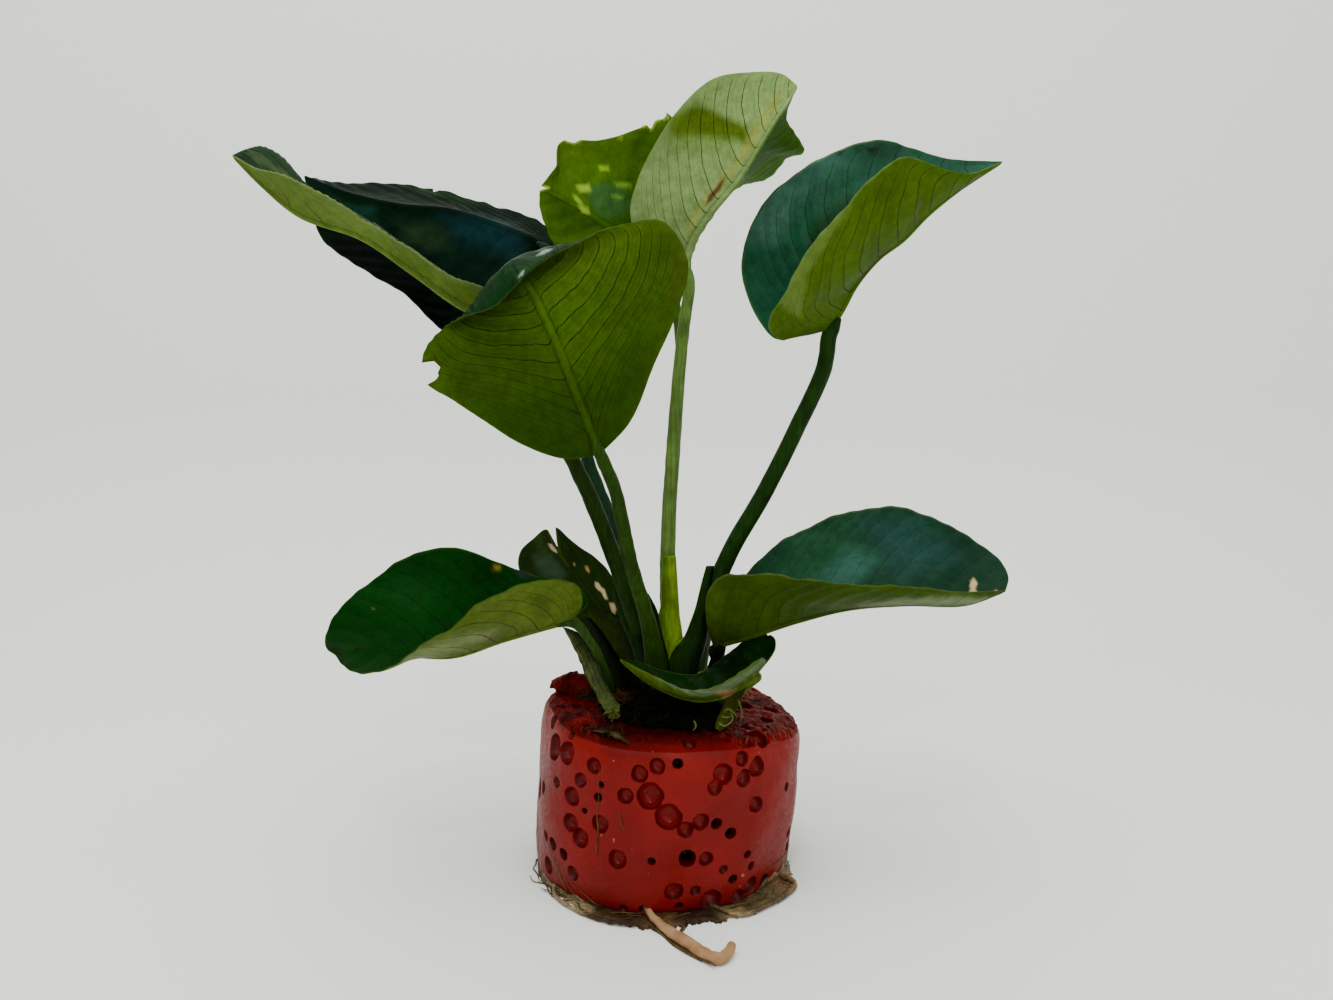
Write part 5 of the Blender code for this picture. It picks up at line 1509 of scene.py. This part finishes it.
def build_stalk(name, leaf, normal, material, seed):
    """Stalk that runs into the midrib at its top and widens into a sheath at its foot."""
    skin, foot_skin_and_shade, flare = STALK_FINISH[name]
    top_radius, low_radius = leaf["radii"]
    base = np.array(leaf["midrib"][0], float)
    toward = unit(np.array(leaf["midrib"][1], float) - base)
    run_in = base + toward * 4.0 - normal * 0.5
    route = [run_in, base - normal * leaf["seat"] * 0.45] + [np.array(p, float) for p in leaf["stalk"]]
    length = path_length(route)
    count = max(12, int(length / STALK_STEP))
    share = np.linspace(0, 1, count + 1)
    radii = top_radius + (low_radius - top_radius) * share
    radii *= smooth_step(-0.02, 5.0 / length, share) * 0.65 + 0.35
    foot = smooth_step(1 - SHEATH_LENGTH / max(length, 1.2 * SHEATH_LENGTH), 1.0, share)
    radii *= 1 + flare * foot
    points, faces = tube_mesh(rail(route, count), radii, STALK_SIDES)
    points += relief(points, STALK_RELIEF, seed)[:, None]
    tone = tone_layer(points, skin, 0.25, 9.0, seed)
    # The foot's colour, darker for most stalks, is partly painted shade at the plant's base
    foot_tone = tone_layer(points, foot_skin_and_shade, 0.25, 5.0, seed)
    tone += (foot_tone - tone) * np.append(np.repeat(foot, STALK_SIDES), [0, 1])[:, None]
    if name in SHEATHS:
        sheath, sheath_faces, across = strip_mesh(SHEATHS[name])
        points, faces = join_meshes([(points, faces), (sheath, sheath_faces)])
        tone = np.concatenate([tone, strip_tone(SHEATH_COLOURS[name], across, sheath, seed)])
    new_piece("petiole_" + name, points, faces, material, "stalk", ["stalk_" + name], {"tone": tone})


def strip_mesh(rows):
    """Closed flattened body between two edges, and the place of each point across it."""
    count = STRIP_STEPS * (len(rows) - 1)
    first = rail([seen_at(row[0], row[2]) for row in rows], count)
    second = rail([seen_at(row[1], row[2]) for row in rows], count)
    thick = spread([row[3] for row in rows], count + 1)
    turn = np.linspace(0, 2 * np.pi, STRIP_SIDES, endpoint=False)
    half = (second - first) / 2
    backward = np.stack([0 * thick, thick, 0 * thick], -1)
    rings = (first + half)[:, None] + np.cos(turn)[None, :, None] * half[:, None]
    rings += np.sin(turn)[None, :, None] * backward[:, None]
    ends = [(first[0] + second[0]) / 2, (first[-1] + second[-1]) / 2]
    across = np.append(np.tile(np.cos(turn), count + 1), [0, 0])
    return np.concatenate([rings.reshape(-1, 3), ends]), turned(tube_faces(count + 1, STRIP_SIDES)), across


def strip_tone(colours, across, points, seed):
    """Colour from one edge of a strip to the other, with its own colour along its rims."""
    first, second, rim = (np.array(linear(colour)) for colour in colours)
    share = smooth_step(-0.9, 0.9, across)[:, None]
    tone = np.ones((len(points), 4))
    tone[:, :3] = first + (second - first) * share
    edge = smooth_step(0.955, 0.995, -across)[:, None]
    tone[:, :3] += (rim - tone[:, :3]) * edge
    tone[:, :3] *= (1 + 0.3 * noise_at(points, 3.0, seed))[:, None]
    return tone


def build_old_stalk(material):
    """Flattened dead stalk with ribs along it and a bright end."""
    points, faces, across = strip_mesh(OLD_STALK)
    points += relief(points, OLD_STALK_RELIEF, 5)[:, None]
    tone = strip_tone(OLD_STALK_COLOURS, across, points, 12)
    tone[:, :3] *= (1 + RIB_DEPTH * np.cos(across * RIB_RATE))[:, None]
    low = smooth_step(*OLD_STALK_END_HEIGHTS, points[:, 2])[:, None]
    tone[:, :3] += (np.array(linear(OLD_STALK_END)) - tone[:, :3]) * low * 0.8
    new_piece("old_petiole", points, faces, material, "withered", ["old_stalk"], {"tone": tone})


def build_lip(material):
    """Crumbly lip of the stone's top."""
    points, faces, _ = strip_mesh(STONE_LIP)
    points += relief(points, LIP_RELIEF, 6)[:, None] + relief(points, LIP_GRIT, 8)[:, None]
    place = np.zeros((len(points), 3))
    place[:, 1] = 1.0
    new_piece("stone_lip", points, faces, material, "stone", None, {"stone_place": place})


def build_root_bed(material):
    """Matted roots from the creeping stem over the top of the stone, painted near black as shade."""
    corners = rail(ROOT_BED + ROOT_BED[:1], BED_COLUMNS)[:-1]
    middle = np.array(BED_MIDDLE)
    share = np.linspace(0, 1, BED_ROWS + 1)[1:]
    grid = middle + (corners[None] - middle) * share[:, None, None]
    height = BED_HEIGHT * np.sqrt(np.maximum(1 - share**BED_POWER, 0))[:, None] + 0 * grid[..., 0]
    points = np.concatenate([grid, (BED_BASE + height)[..., None]], -1)
    points[..., 2] += relief(points, BED_RELIEF, 4) * (height > 0.3)
    ends = [[*middle, BED_BASE + BED_HEIGHT], [*middle, BED_BASE - BED_DEPTH]]
    faces = turned(tube_faces(BED_ROWS, BED_COLUMNS))
    new_piece("root_bed", np.concatenate([points.reshape(-1, 3), ends]), faces, material, "root", None)


def build_rhizome(material):
    """Ringed stem and its side shoot."""
    meshes = []
    for path, radii, count in ((RHIZOME_PATH, RHIZOME_RADII, 60), (SIDE_SHOOT_PATH, SIDE_SHOOT_RADII, 30)):
        meshes.append(tube_mesh(rail(path, count), spread(radii, count + 1), RHIZOME_SIDES))
    points, faces = join_meshes(meshes)
    points[:, 2] += RING_HEIGHT * np.sin(points[:, 0] * RING_RATE) * (points[:, 2] > RINGS_ABOVE)
    points += relief(points, RHIZOME_RELIEF, 3)[:, None] * unit(points - points.mean(0))
    new_piece("creeping_stem", points, faces, material, "rhizome", ["rhizome"])


def build_hairs(name, paths, material, slot):
    """Many thin strands as one piece, each tapering towards its end."""
    strands = []
    for path in paths:
        count = 3 * (len(path) - 1)
        radii = STRAND_RADII[name] * (1 - STRAND_TAPER * np.linspace(0, 1, count + 1))
        strands.append(tube_mesh(rail(path, count), radii, HAIR_SIDES))
    points, faces = join_meshes(strands)
    new_piece(name, above_floor(points), faces, material, slot, None)


def build_seen_strands(name, paths, material, slot):
    """Strands whose points are pixels of the photograph, each with its y."""
    placed = [[seen_at(pixel, y) for pixel, y in path] for path in paths]
    build_hairs(name, placed, material, slot)


def wander(draw, start, heading, step, count, bend):
    """Path that sets out from a point and turns a little at each step."""
    place = np.array(start, float)
    heading = unit(np.array(heading, float))
    path = [place.copy()]
    for _ in range(count):
        turn = np.array([draw.gauss(0, bend) for _ in range(3)])
        heading = unit(heading + turn)
        place = place + heading * step
        path.append(place.copy())
    return path


def tuft(draw, centre, count, length, bend, lift):
    """Paths of a loose ball of fibres."""
    paths = []
    for _ in range(count):
        heading = [draw.gauss(0, 1), draw.gauss(0, 1), draw.gauss(0, 1) + lift]
        start = [value + draw.gauss(0, 0.6) for value in centre]
        paths.append(wander(draw, start, heading, length / 5, 5, bend))
    return paths


def foot_radius(angle, height):
    """Distance of the stone's side from the middle of its foot, at an angle from the front."""
    reach = stone_radius(height)
    lean = STONE_LEAN * height / STONE_HEIGHT
    place = Vector((math.sin(angle) * reach + lean, -math.cos(angle) * reach, height))
    return reach + noise.noise(place / LUMP_SIZE) * LUMP_DEPTH * 2 + lean * math.sin(angle)


def foot_place(angle, height, out):
    """Point outside the stone's side, at an angle from the front towards +X."""
    reach = foot_radius(angle, height) + out
    return [math.sin(angle) * reach, -math.cos(angle) * reach, height]


def spread_at(pairs, place):
    """Value at a place, in straight steps between the pairs of a table."""
    places, values = zip(*pairs)
    return float(np.interp(place, places, values))


def mat_tone(degrees):
    """Colour of the root mat at an angle from the front, in degrees."""
    places, colours = zip(*MAT_TONES)
    return [np.interp(degrees, places, values) for values in zip(*(linear(colour) for colour in colours))]


def build_root(name, root, material, replaced):
    """Thin root that takes the mat's colour at its place."""
    points, faces = lumpy_tube(root["path"], root["radii"], ROOT_SIDES, ROOT_ROUGHNESS, len(name))
    tone = np.ones((len(points), 4))
    angles = np.degrees(np.arctan2(points[:, 0], -points[:, 1]))
    tone[:, :3] = [mat_tone(angle) for angle in angles]
    new_piece(name, points, faces, material, "root", [replaced], {"tone": tone})


def build_mat(material):
    """Thin wet film of roots round the stone's foot, wider at the front root and the right."""
    sections = []
    tones = []
    for i in range(MAT_SECTIONS):
        angle = 2 * math.pi * i / MAT_SECTIONS
        degrees = (math.degrees(angle) + 180) % 360 - 180
        tones.append(mat_tone(degrees))
        spot = Vector((math.sin(angle), -math.cos(angle), 0)) * RIM_DISTANCE
        fray = 0.8 + 0.5 * abs(noise.noise(spot / 2.6)) + 0.3 * abs(noise.noise(spot / 0.9))
        width = spread_at(MAT_WIDTHS, degrees) * fray
        climb = spread_at(MAT_CLIMBS, degrees) * (0.75 + 0.9 * noise.noise(spot / 4.0))
        climb = max(climb, MAT_LEAST_CLIMB)
        ripple = noise.noise(spot / 1.3)
        sections.append([
            foot_place(angle, climb * climb_share + height + rippled * ripple, out + width * width_share)
            for climb_share, height, rippled, out, width_share in MAT_SECTION
        ])
    points = above_floor(np.array(sections, float))
    size = len(MAT_SECTION)
    tone = np.ones((MAT_SECTIONS, size, 4))
    tone[..., :3] = np.array(tones)[:, None]
    tone[:, MAT_EDGE, :3] *= MAT_EDGE_GAIN
    faces = ring_quads(MAT_SECTIONS, size, closed=True)
    attributes = {"tone": tone.reshape(-1, 4)}
    new_piece("root_mat", points.reshape(-1, 3), faces, material, "root", None, attributes)


def lay_on_floor(path):
    """Keep a hair beside the stone's foot and near the floor."""
    for place in path:
        angle = math.atan2(place[0], -place[1])
        low = foot_radius(angle, FOOT_HAIR_HEIGHT) + FOOT_HAIR_GAP
        reach = min(max(math.hypot(place[0], place[1]), low), low + FOOT_HAIR_REACH)
        place[:] = [math.sin(angle) * reach, -math.cos(angle) * reach, 0.3 + 0.2 * abs(place[2])]


def build_root_hairs(material):
    """Hairs on the floor round the foot, up the side of the stone, and along the front root."""
    draw = random.Random(HAIR_SEED)
    paths = []
    for _ in range(FOOT_HAIRS):
        angle = math.radians(draw.uniform(-180, 180))
        start = foot_place(angle, FOOT_HAIR_HEIGHT, draw.uniform(*FOOT_HAIR_START))
        side = draw.choice((-1, 1))
        heading = [math.cos(angle) * side, math.sin(angle) * side, draw.gauss(0, 0.05)]
        paths.append(wander(draw, start, heading, FOOT_HAIR_STEP, draw.randint(*FOOT_HAIR_JOINTS), 0.22))
        lay_on_floor(paths[-1])
    build_hairs("foot_hairs", paths, material, "root")
    climbers = []
    for low, high, first, last in STONE_HAIRS:
        path = []
        for share in np.arange(STONE_HAIR_JOINTS + 1) / STONE_HAIR_JOINTS:
            angle = math.radians(first + (last - first) * share + draw.gauss(0, 0.5))
            path.append(np.array(foot_place(angle, low + (high - low) * share, STONE_HAIR_GAP)))
        climbers.append(path)
    build_hairs("stone_hairs", climbers, material, "root")
    build_seen_strands("front_strands", FRONT_STRANDS, material, "root")


def matted_root(draw):
    """Path of one root that runs out from the middle of the bed and dips at its end."""
    angle = draw.uniform(0, 2 * math.pi)
    outward = np.array([math.cos(angle), math.sin(angle)])
    start = np.append(BED_MIDDLE + BED_ROOT_REACH * outward, BED_ROOT_HEIGHT)
    path = wander(draw, start, [*outward, -0.15], BED_ROOT_STEP, BED_ROOT_JOINTS, 0.35)
    for k, place in enumerate(path):
        place[2] = BED_ROOT_HEIGHT - 0.09 * k * k + 0.4 * math.sin(2.1 * k)
    return path


def build_debris(fibres):
    """Small growth on the top of the stone: moss, dead fibres, a dry scale and young pale roots."""
    draw = random.Random(HAIR_SEED + 1)
    for name, (*shape, skin) in TUFTS.items():
        build_hairs(name, tuft(draw, *shape), fibres[skin], "withered")
    build_seen_strands("young_roots", YOUNG_ROOTS, fibres["pale_fibre"], "root")
    build_seen_strands("dry_straps", DRY_STRAPS, fibres["pale_fibre"], "withered")
    name = "scale_flake"
    scale = lumpy_tube(SCALE_PATH, SCALE_RADII, SCALE_SIDES, SCALE_ROUGHNESS, len(name), SCALE_SQUASH)
    new_piece(name, *scale, fibres["moss_fibre"], "withered", None)
    frayed = []
    for _ in range(FRAYED_FIBRES):
        heading = [draw.gauss(0.5, 0.6), draw.gauss(-0.4, 0.5), draw.gauss(0.0, 0.4)]
        frayed.append(wander(draw, FRAYED_END, heading, 0.6, 4, 0.35))
    build_hairs("frayed_end", frayed, fibres["pale_fibre"], "withered")
    matted = [matted_root(draw) for _ in range(BED_ROOTS)]
    build_hairs("bed_roots", matted, fibres["bed_root_and_shade"], "root")


# Stone


def stone_radius(height):
    """Radius of the stone's side at a height."""
    heights, radii = zip(*STONE_PROFILE)
    return np.interp(height, heights, radii)


def tilt_top(points):
    """Raise the left and the back of the top, and lower its right."""
    x, y, z = points[..., 0], points[..., 1], points[..., 2]
    side = np.where(x < 0, LEFT_RISE, -RIGHT_DROP)
    lift = side * (np.abs(x) / RIM_DISTANCE) ** RISE_POWER
    lift += BACK_RISE * (np.maximum(y, 0) / RIM_DISTANCE) ** RISE_POWER
    points[..., 2] = z + lift * (z / STONE_HEIGHT) ** RISE_POWER
    return points


def stone_outline():
    """Radius and height of each ring, from the foot of the side to the middle of the top."""
    heights, radii = (np.array(values) for values in zip(*STONE_PROFILE))
    radii = np.append(radii, CROWN_RADIUS)
    heights = np.append(heights, STONE_HEIGHT)
    run = np.concatenate([[0], np.cumsum(np.hypot(np.diff(radii), np.diff(heights)))])
    targets = np.arange(0, run[-1], STONE_STEP)
    soft = np.ones(5) / 5
    curve = []
    for values in (radii, heights):
        padded = np.pad(np.interp(targets, run, values), 2, mode="edge")
        curve.append(np.convolve(padded, soft, mode="valid"))
    curve[1][0] = 0.0
    return curve


def top_place(x, y):
    heights, radii = zip(*STONE_PROFILE[5:])
    reach = math.hypot(x - STONE_LEAN, y)
    height = np.interp(-reach, [-radius for radius in radii], heights)
    return tilt_top(np.array([x, y, height]))


def side_place(angle, height):
    radius = stone_radius(height)
    centre = STONE_LEAN * height / STONE_HEIGHT
    return tilt_top(np.array([math.sin(angle) * radius + centre, -math.cos(angle) * radius, height]))


def pit_list():
    """Centre and radius of each pit, with its look."""
    draw = random.Random(PIT_SEED)
    pits = []
    for pit_set, look in ((BUBBLE_PITS, BUBBLE), (DEEP_PITS, DEEP)):
        for angle, height, radius in pit_set:
            pits.append((side_place(math.radians(angle), height), radius, look))
    placed = []
    while len(placed) < BACK_PITS:
        angle = math.radians(draw.uniform(*BACK_PIT_ANGLE))
        centre = side_place(angle, draw.uniform(*BACK_PIT_HEIGHT))
        radius = draw.uniform(*BACK_PIT_RADIUS)
        near = False
        for other, size, _ in placed:
            near = near or np.linalg.norm(centre - other) < radius + size + BACK_PIT_SPACING
        if not near:
            placed.append((centre, radius, draw.choice((BUBBLE, BUBBLE, DEEP))))
    pits += placed
    for x, y, radius in TOP_PITS:
        pits.append((top_place(x, y), radius, SHALLOW))
    for _ in range(CRUST_PITS):
        angle = draw.uniform(0, 2 * math.pi)
        reach = draw.uniform(*CRUST_REACH)
        centre = top_place(reach * math.cos(angle) + STONE_LEAN, reach * math.sin(angle))
        pits.append((centre, draw.uniform(*CRUST_PIT_RADIUS), SHALLOW))
    return pits


def stone_surface():
    """Smooth surface of the stone as rings of points, the direction out, and how far it is top."""
    radii, heights = stone_outline()
    turn = np.linspace(0, 2 * np.pi, STONE_COLUMNS, endpoint=False)
    out = np.stack([np.cos(turn), np.sin(turn), np.zeros_like(turn)], -1)
    points = out[None] * radii[:, None, None]
    points[..., 0] += (STONE_LEAN * heights / STONE_HEIGHT)[:, None]
    points[..., 2] += heights[:, None]
    lumps = noise_at(points, LUMP_SIZE) * LUMP_DEPTH * 2 * (heights > 0)[:, None]
    points += out[None] * lumps[..., None]
    points = tilt_top(points)
    around = np.roll(points, -1, axis=1) - np.roll(points, 1, axis=1)
    normals = unit(np.cross(around, np.gradient(points, axis=0)))
    return points, normals, smooth_step(*CRUST_HEIGHTS, heights)


def crust_cover(points, top):
    """Share of crust at each point: all over the top, but thin where the front is smooth."""
    ragged = relief(points, CRUST_RAGGED, 9)
    front = smooth_step(*SMOOTH_FRONT, points[..., 1])
    front *= smooth_step(*SMOOTH_SIDE, np.abs(points[..., 0] - SMOOTH_MIDDLE))
    edge = smooth_step(*CRUST_EDGE, top[:, None] + ragged * (top > 0)[:, None])
    return edge * (1 - SMOOTH_SHARE * front)


def press_pits(points, normals):
    """Slide points onto the pits' rims; say how deep each point is and how much painted shadow it gets."""
    depth = np.zeros(points.shape[:-1])
    pit_shadow = np.zeros_like(depth)
    wobble = 1 + relief(points, RIM_WOBBLE, 2)
    for centre, radius, (share, dark) in pit_list():
        offset = points - centre
        gap = np.linalg.norm(offset, axis=-1)
        close = gap < 1.5 * radius + 1
        offset = offset[close]
        gap = gap[close] * wobble[close]
        on_rim = np.abs(gap - radius) < RIM_SNAP
        tangent = offset - normals[close] * np.sum(offset * normals[close], axis=-1, keepdims=True)
        points[close] += np.where(on_rim, radius - gap, 0)[:, None] * unit(tangent)
        inside = (gap < radius) & ~on_rim
        bowl = np.sqrt(np.maximum(1 - (gap / radius) ** WALL_POWER, 0)) * radius * share
        bowl = np.where(inside, bowl, 0)
        deeper = bowl > depth[close]
        depth[close] = np.where(deeper, bowl, depth[close])
        pit_shadow[close] = np.where(deeper, dark, pit_shadow[close])
    return depth, pit_shadow


def build_stone(materials):
    """Pitted stone with a crumbly top, in three materials: glaze, pits and crust."""
    points, normals, top = stone_surface()
    rise = smooth_step(0, 2, points[..., 2])
    crust = crust_cover(points, top)
    depth, pit_shadow = press_pits(points, normals)
    rough = relief(points, CRUST_RELIEF, 6) + np.abs(relief(points, CRUST_GRIT, 8)) - 0.1
    shift = (relief(points, STONE_RELIEF, 4) + crust * rough) * rise - depth
    points = points + normals * shift[..., None]
    points[..., 2] = np.maximum(points[..., 2], 0.0)
    rows = len(points)
    flat = np.concatenate([points.reshape(-1, 3), points[-1].mean(0)[None]])
    rim = (rows - 1) * STONE_COLUMNS
    crown = [(rim + k, rim + (k + 1) % STONE_COLUMNS, rows * STONE_COLUMNS) for k in range(STONE_COLUMNS)]
    faces = ring_quads(rows, STONE_COLUMNS) + crown + [tuple(range(STONE_COLUMNS))[::-1]]
    place = np.stack([np.clip(depth / PIT_FULL, 0, 1), crust, pit_shadow], -1).reshape(-1, 3)
    place = np.concatenate([place, [[0, 1, 0]]])
    deep = np.append(depth.ravel() > PIT_START, False)
    high = np.append(np.repeat(top, STONE_COLUMNS) > CRUST_START, True)
    groups = []
    for face in faces:
        corners = list(face)
        groups.append(1 if all(deep[corners]) else 2 if all(high[corners]) else 0)
    attributes = {"stone_place": place}
    stone = new_piece("pitted_stone", flat, faces, materials, "stone", ["stone"], attributes, groups)
    stone.data.set_sharp_from_angle(angle=math.radians(WALL_ANGLE))


# Surroundings


def add_area(name, place, target, size, power, colour):
    data = bpy.data.lights.new(name, 'AREA')
    data.shape = 'SQUARE'
    data.size = size
    data.energy = power
    data.color = colour
    lamp = bpy.data.objects.new(name, data)
    lamp.location = place
    lamp.rotation_euler = (Vector(target) - Vector(place)).to_track_quat('-Z', 'Y').to_euler()
    bpy.context.scene.collection.objects.link(lamp)


def build_floor():
    """Pale floor that bends up into a wall."""
    profile = [(FLOOR_FRONT, 0.0), (WALL_START, 0.0)]
    for k in range(1, BEND_STEPS + 1):
        turn = math.pi / 2 * k / BEND_STEPS
        profile.append((WALL_START + BEND_RADIUS * math.sin(turn), BEND_RADIUS * (1 - math.cos(turn))))
    profile.append((WALL_START + BEND_RADIUS, WALL_TOP))
    verts = []
    for y, z in profile:
        verts += [(-FLOOR_HALF, y, z), (FLOOR_HALF, y, z)]
    faces = [(2 * k, 2 * k + 1, 2 * k + 3, 2 * k + 2) for k in range(len(profile) - 1)]
    mesh = bpy.data.meshes.new("floor")
    mesh.from_pydata(verts, [], faces)
    mesh.shade_smooth()
    tree = Tree("pale_floor")
    tree.surface((*linear(FLOOR_COLOUR), 1.0), 0.7, None)
    mesh.materials.append(tree.material)
    floor = bpy.data.objects.new("floor", mesh)
    bpy.context.scene.collection.objects.link(floor)


def build_light():
    """Soft sky and the lamps."""
    world = bpy.data.worlds.new("soft_sky")
    world.use_nodes = True
    sky = world.node_tree.nodes["Background"]
    sky.inputs["Color"].default_value = SKY_COLOUR
    sky.inputs["Strength"].default_value = SKY_STRENGTH
    bpy.context.scene.world = world
    for lamp in LAMPS:
        add_area(*lamp)


def build_camera():
    data = bpy.data.cameras.new("camera")
    data.sensor_width = SENSOR_WIDTH
    data.lens = SENSOR_WIDTH * FOCAL_PIXELS / PHOTO_WIDTH
    data.clip_start = 0.01
    camera = bpy.data.objects.new("camera", data)
    camera.location = Vector(CAMERA_PLACE) * MM
    camera.rotation_euler = (math.radians(90 - CAMERA_TILT), 0, 0)
    bpy.context.scene.collection.objects.link(camera)
    bpy.context.scene.camera = camera


def main():
    build_camera()
    build_floor()
    build_light()
    skins = {name: leaf_material(name) for name in LEAF_SKINS}
    stalk_skin = stalk_material()
    for seed, (name, leaf) in enumerate(LEAVES.items()):
        upper = skins["leaf_dark" if name in DARK_LEAVES else "leaf_upper"]
        normal = build_leaf(name, leaf, [upper, skins["leaf_under"]], seed)
        build_stalk(name, leaf, normal, stalk_skin, seed)
    stone = {name: stone_material(name) for name in STONE_SKINS}
    build_stone(list(stone.values()))
    build_lip(stone["crust_glaze"])
    fibres = {name: fibre_material(name) for name in FIBRES}
    build_rhizome(fibres["rhizome_bark_and_shade"])
    build_root_bed(fibres["rhizome_bark_and_shade"])
    build_old_stalk(toned_material("withered_fibre"))
    film = toned_material("root_film")
    for name, root in ROOTS.items():
        skin = fibres["root_skin"] if name == "root_front" else film
        build_root("rootlet" + name[4:], root, skin, name)
    build_mat(film)
    build_root_hairs(fibres["root_hair"])
    build_debris(fibres)


main()
bpy.context.view_layer.update()
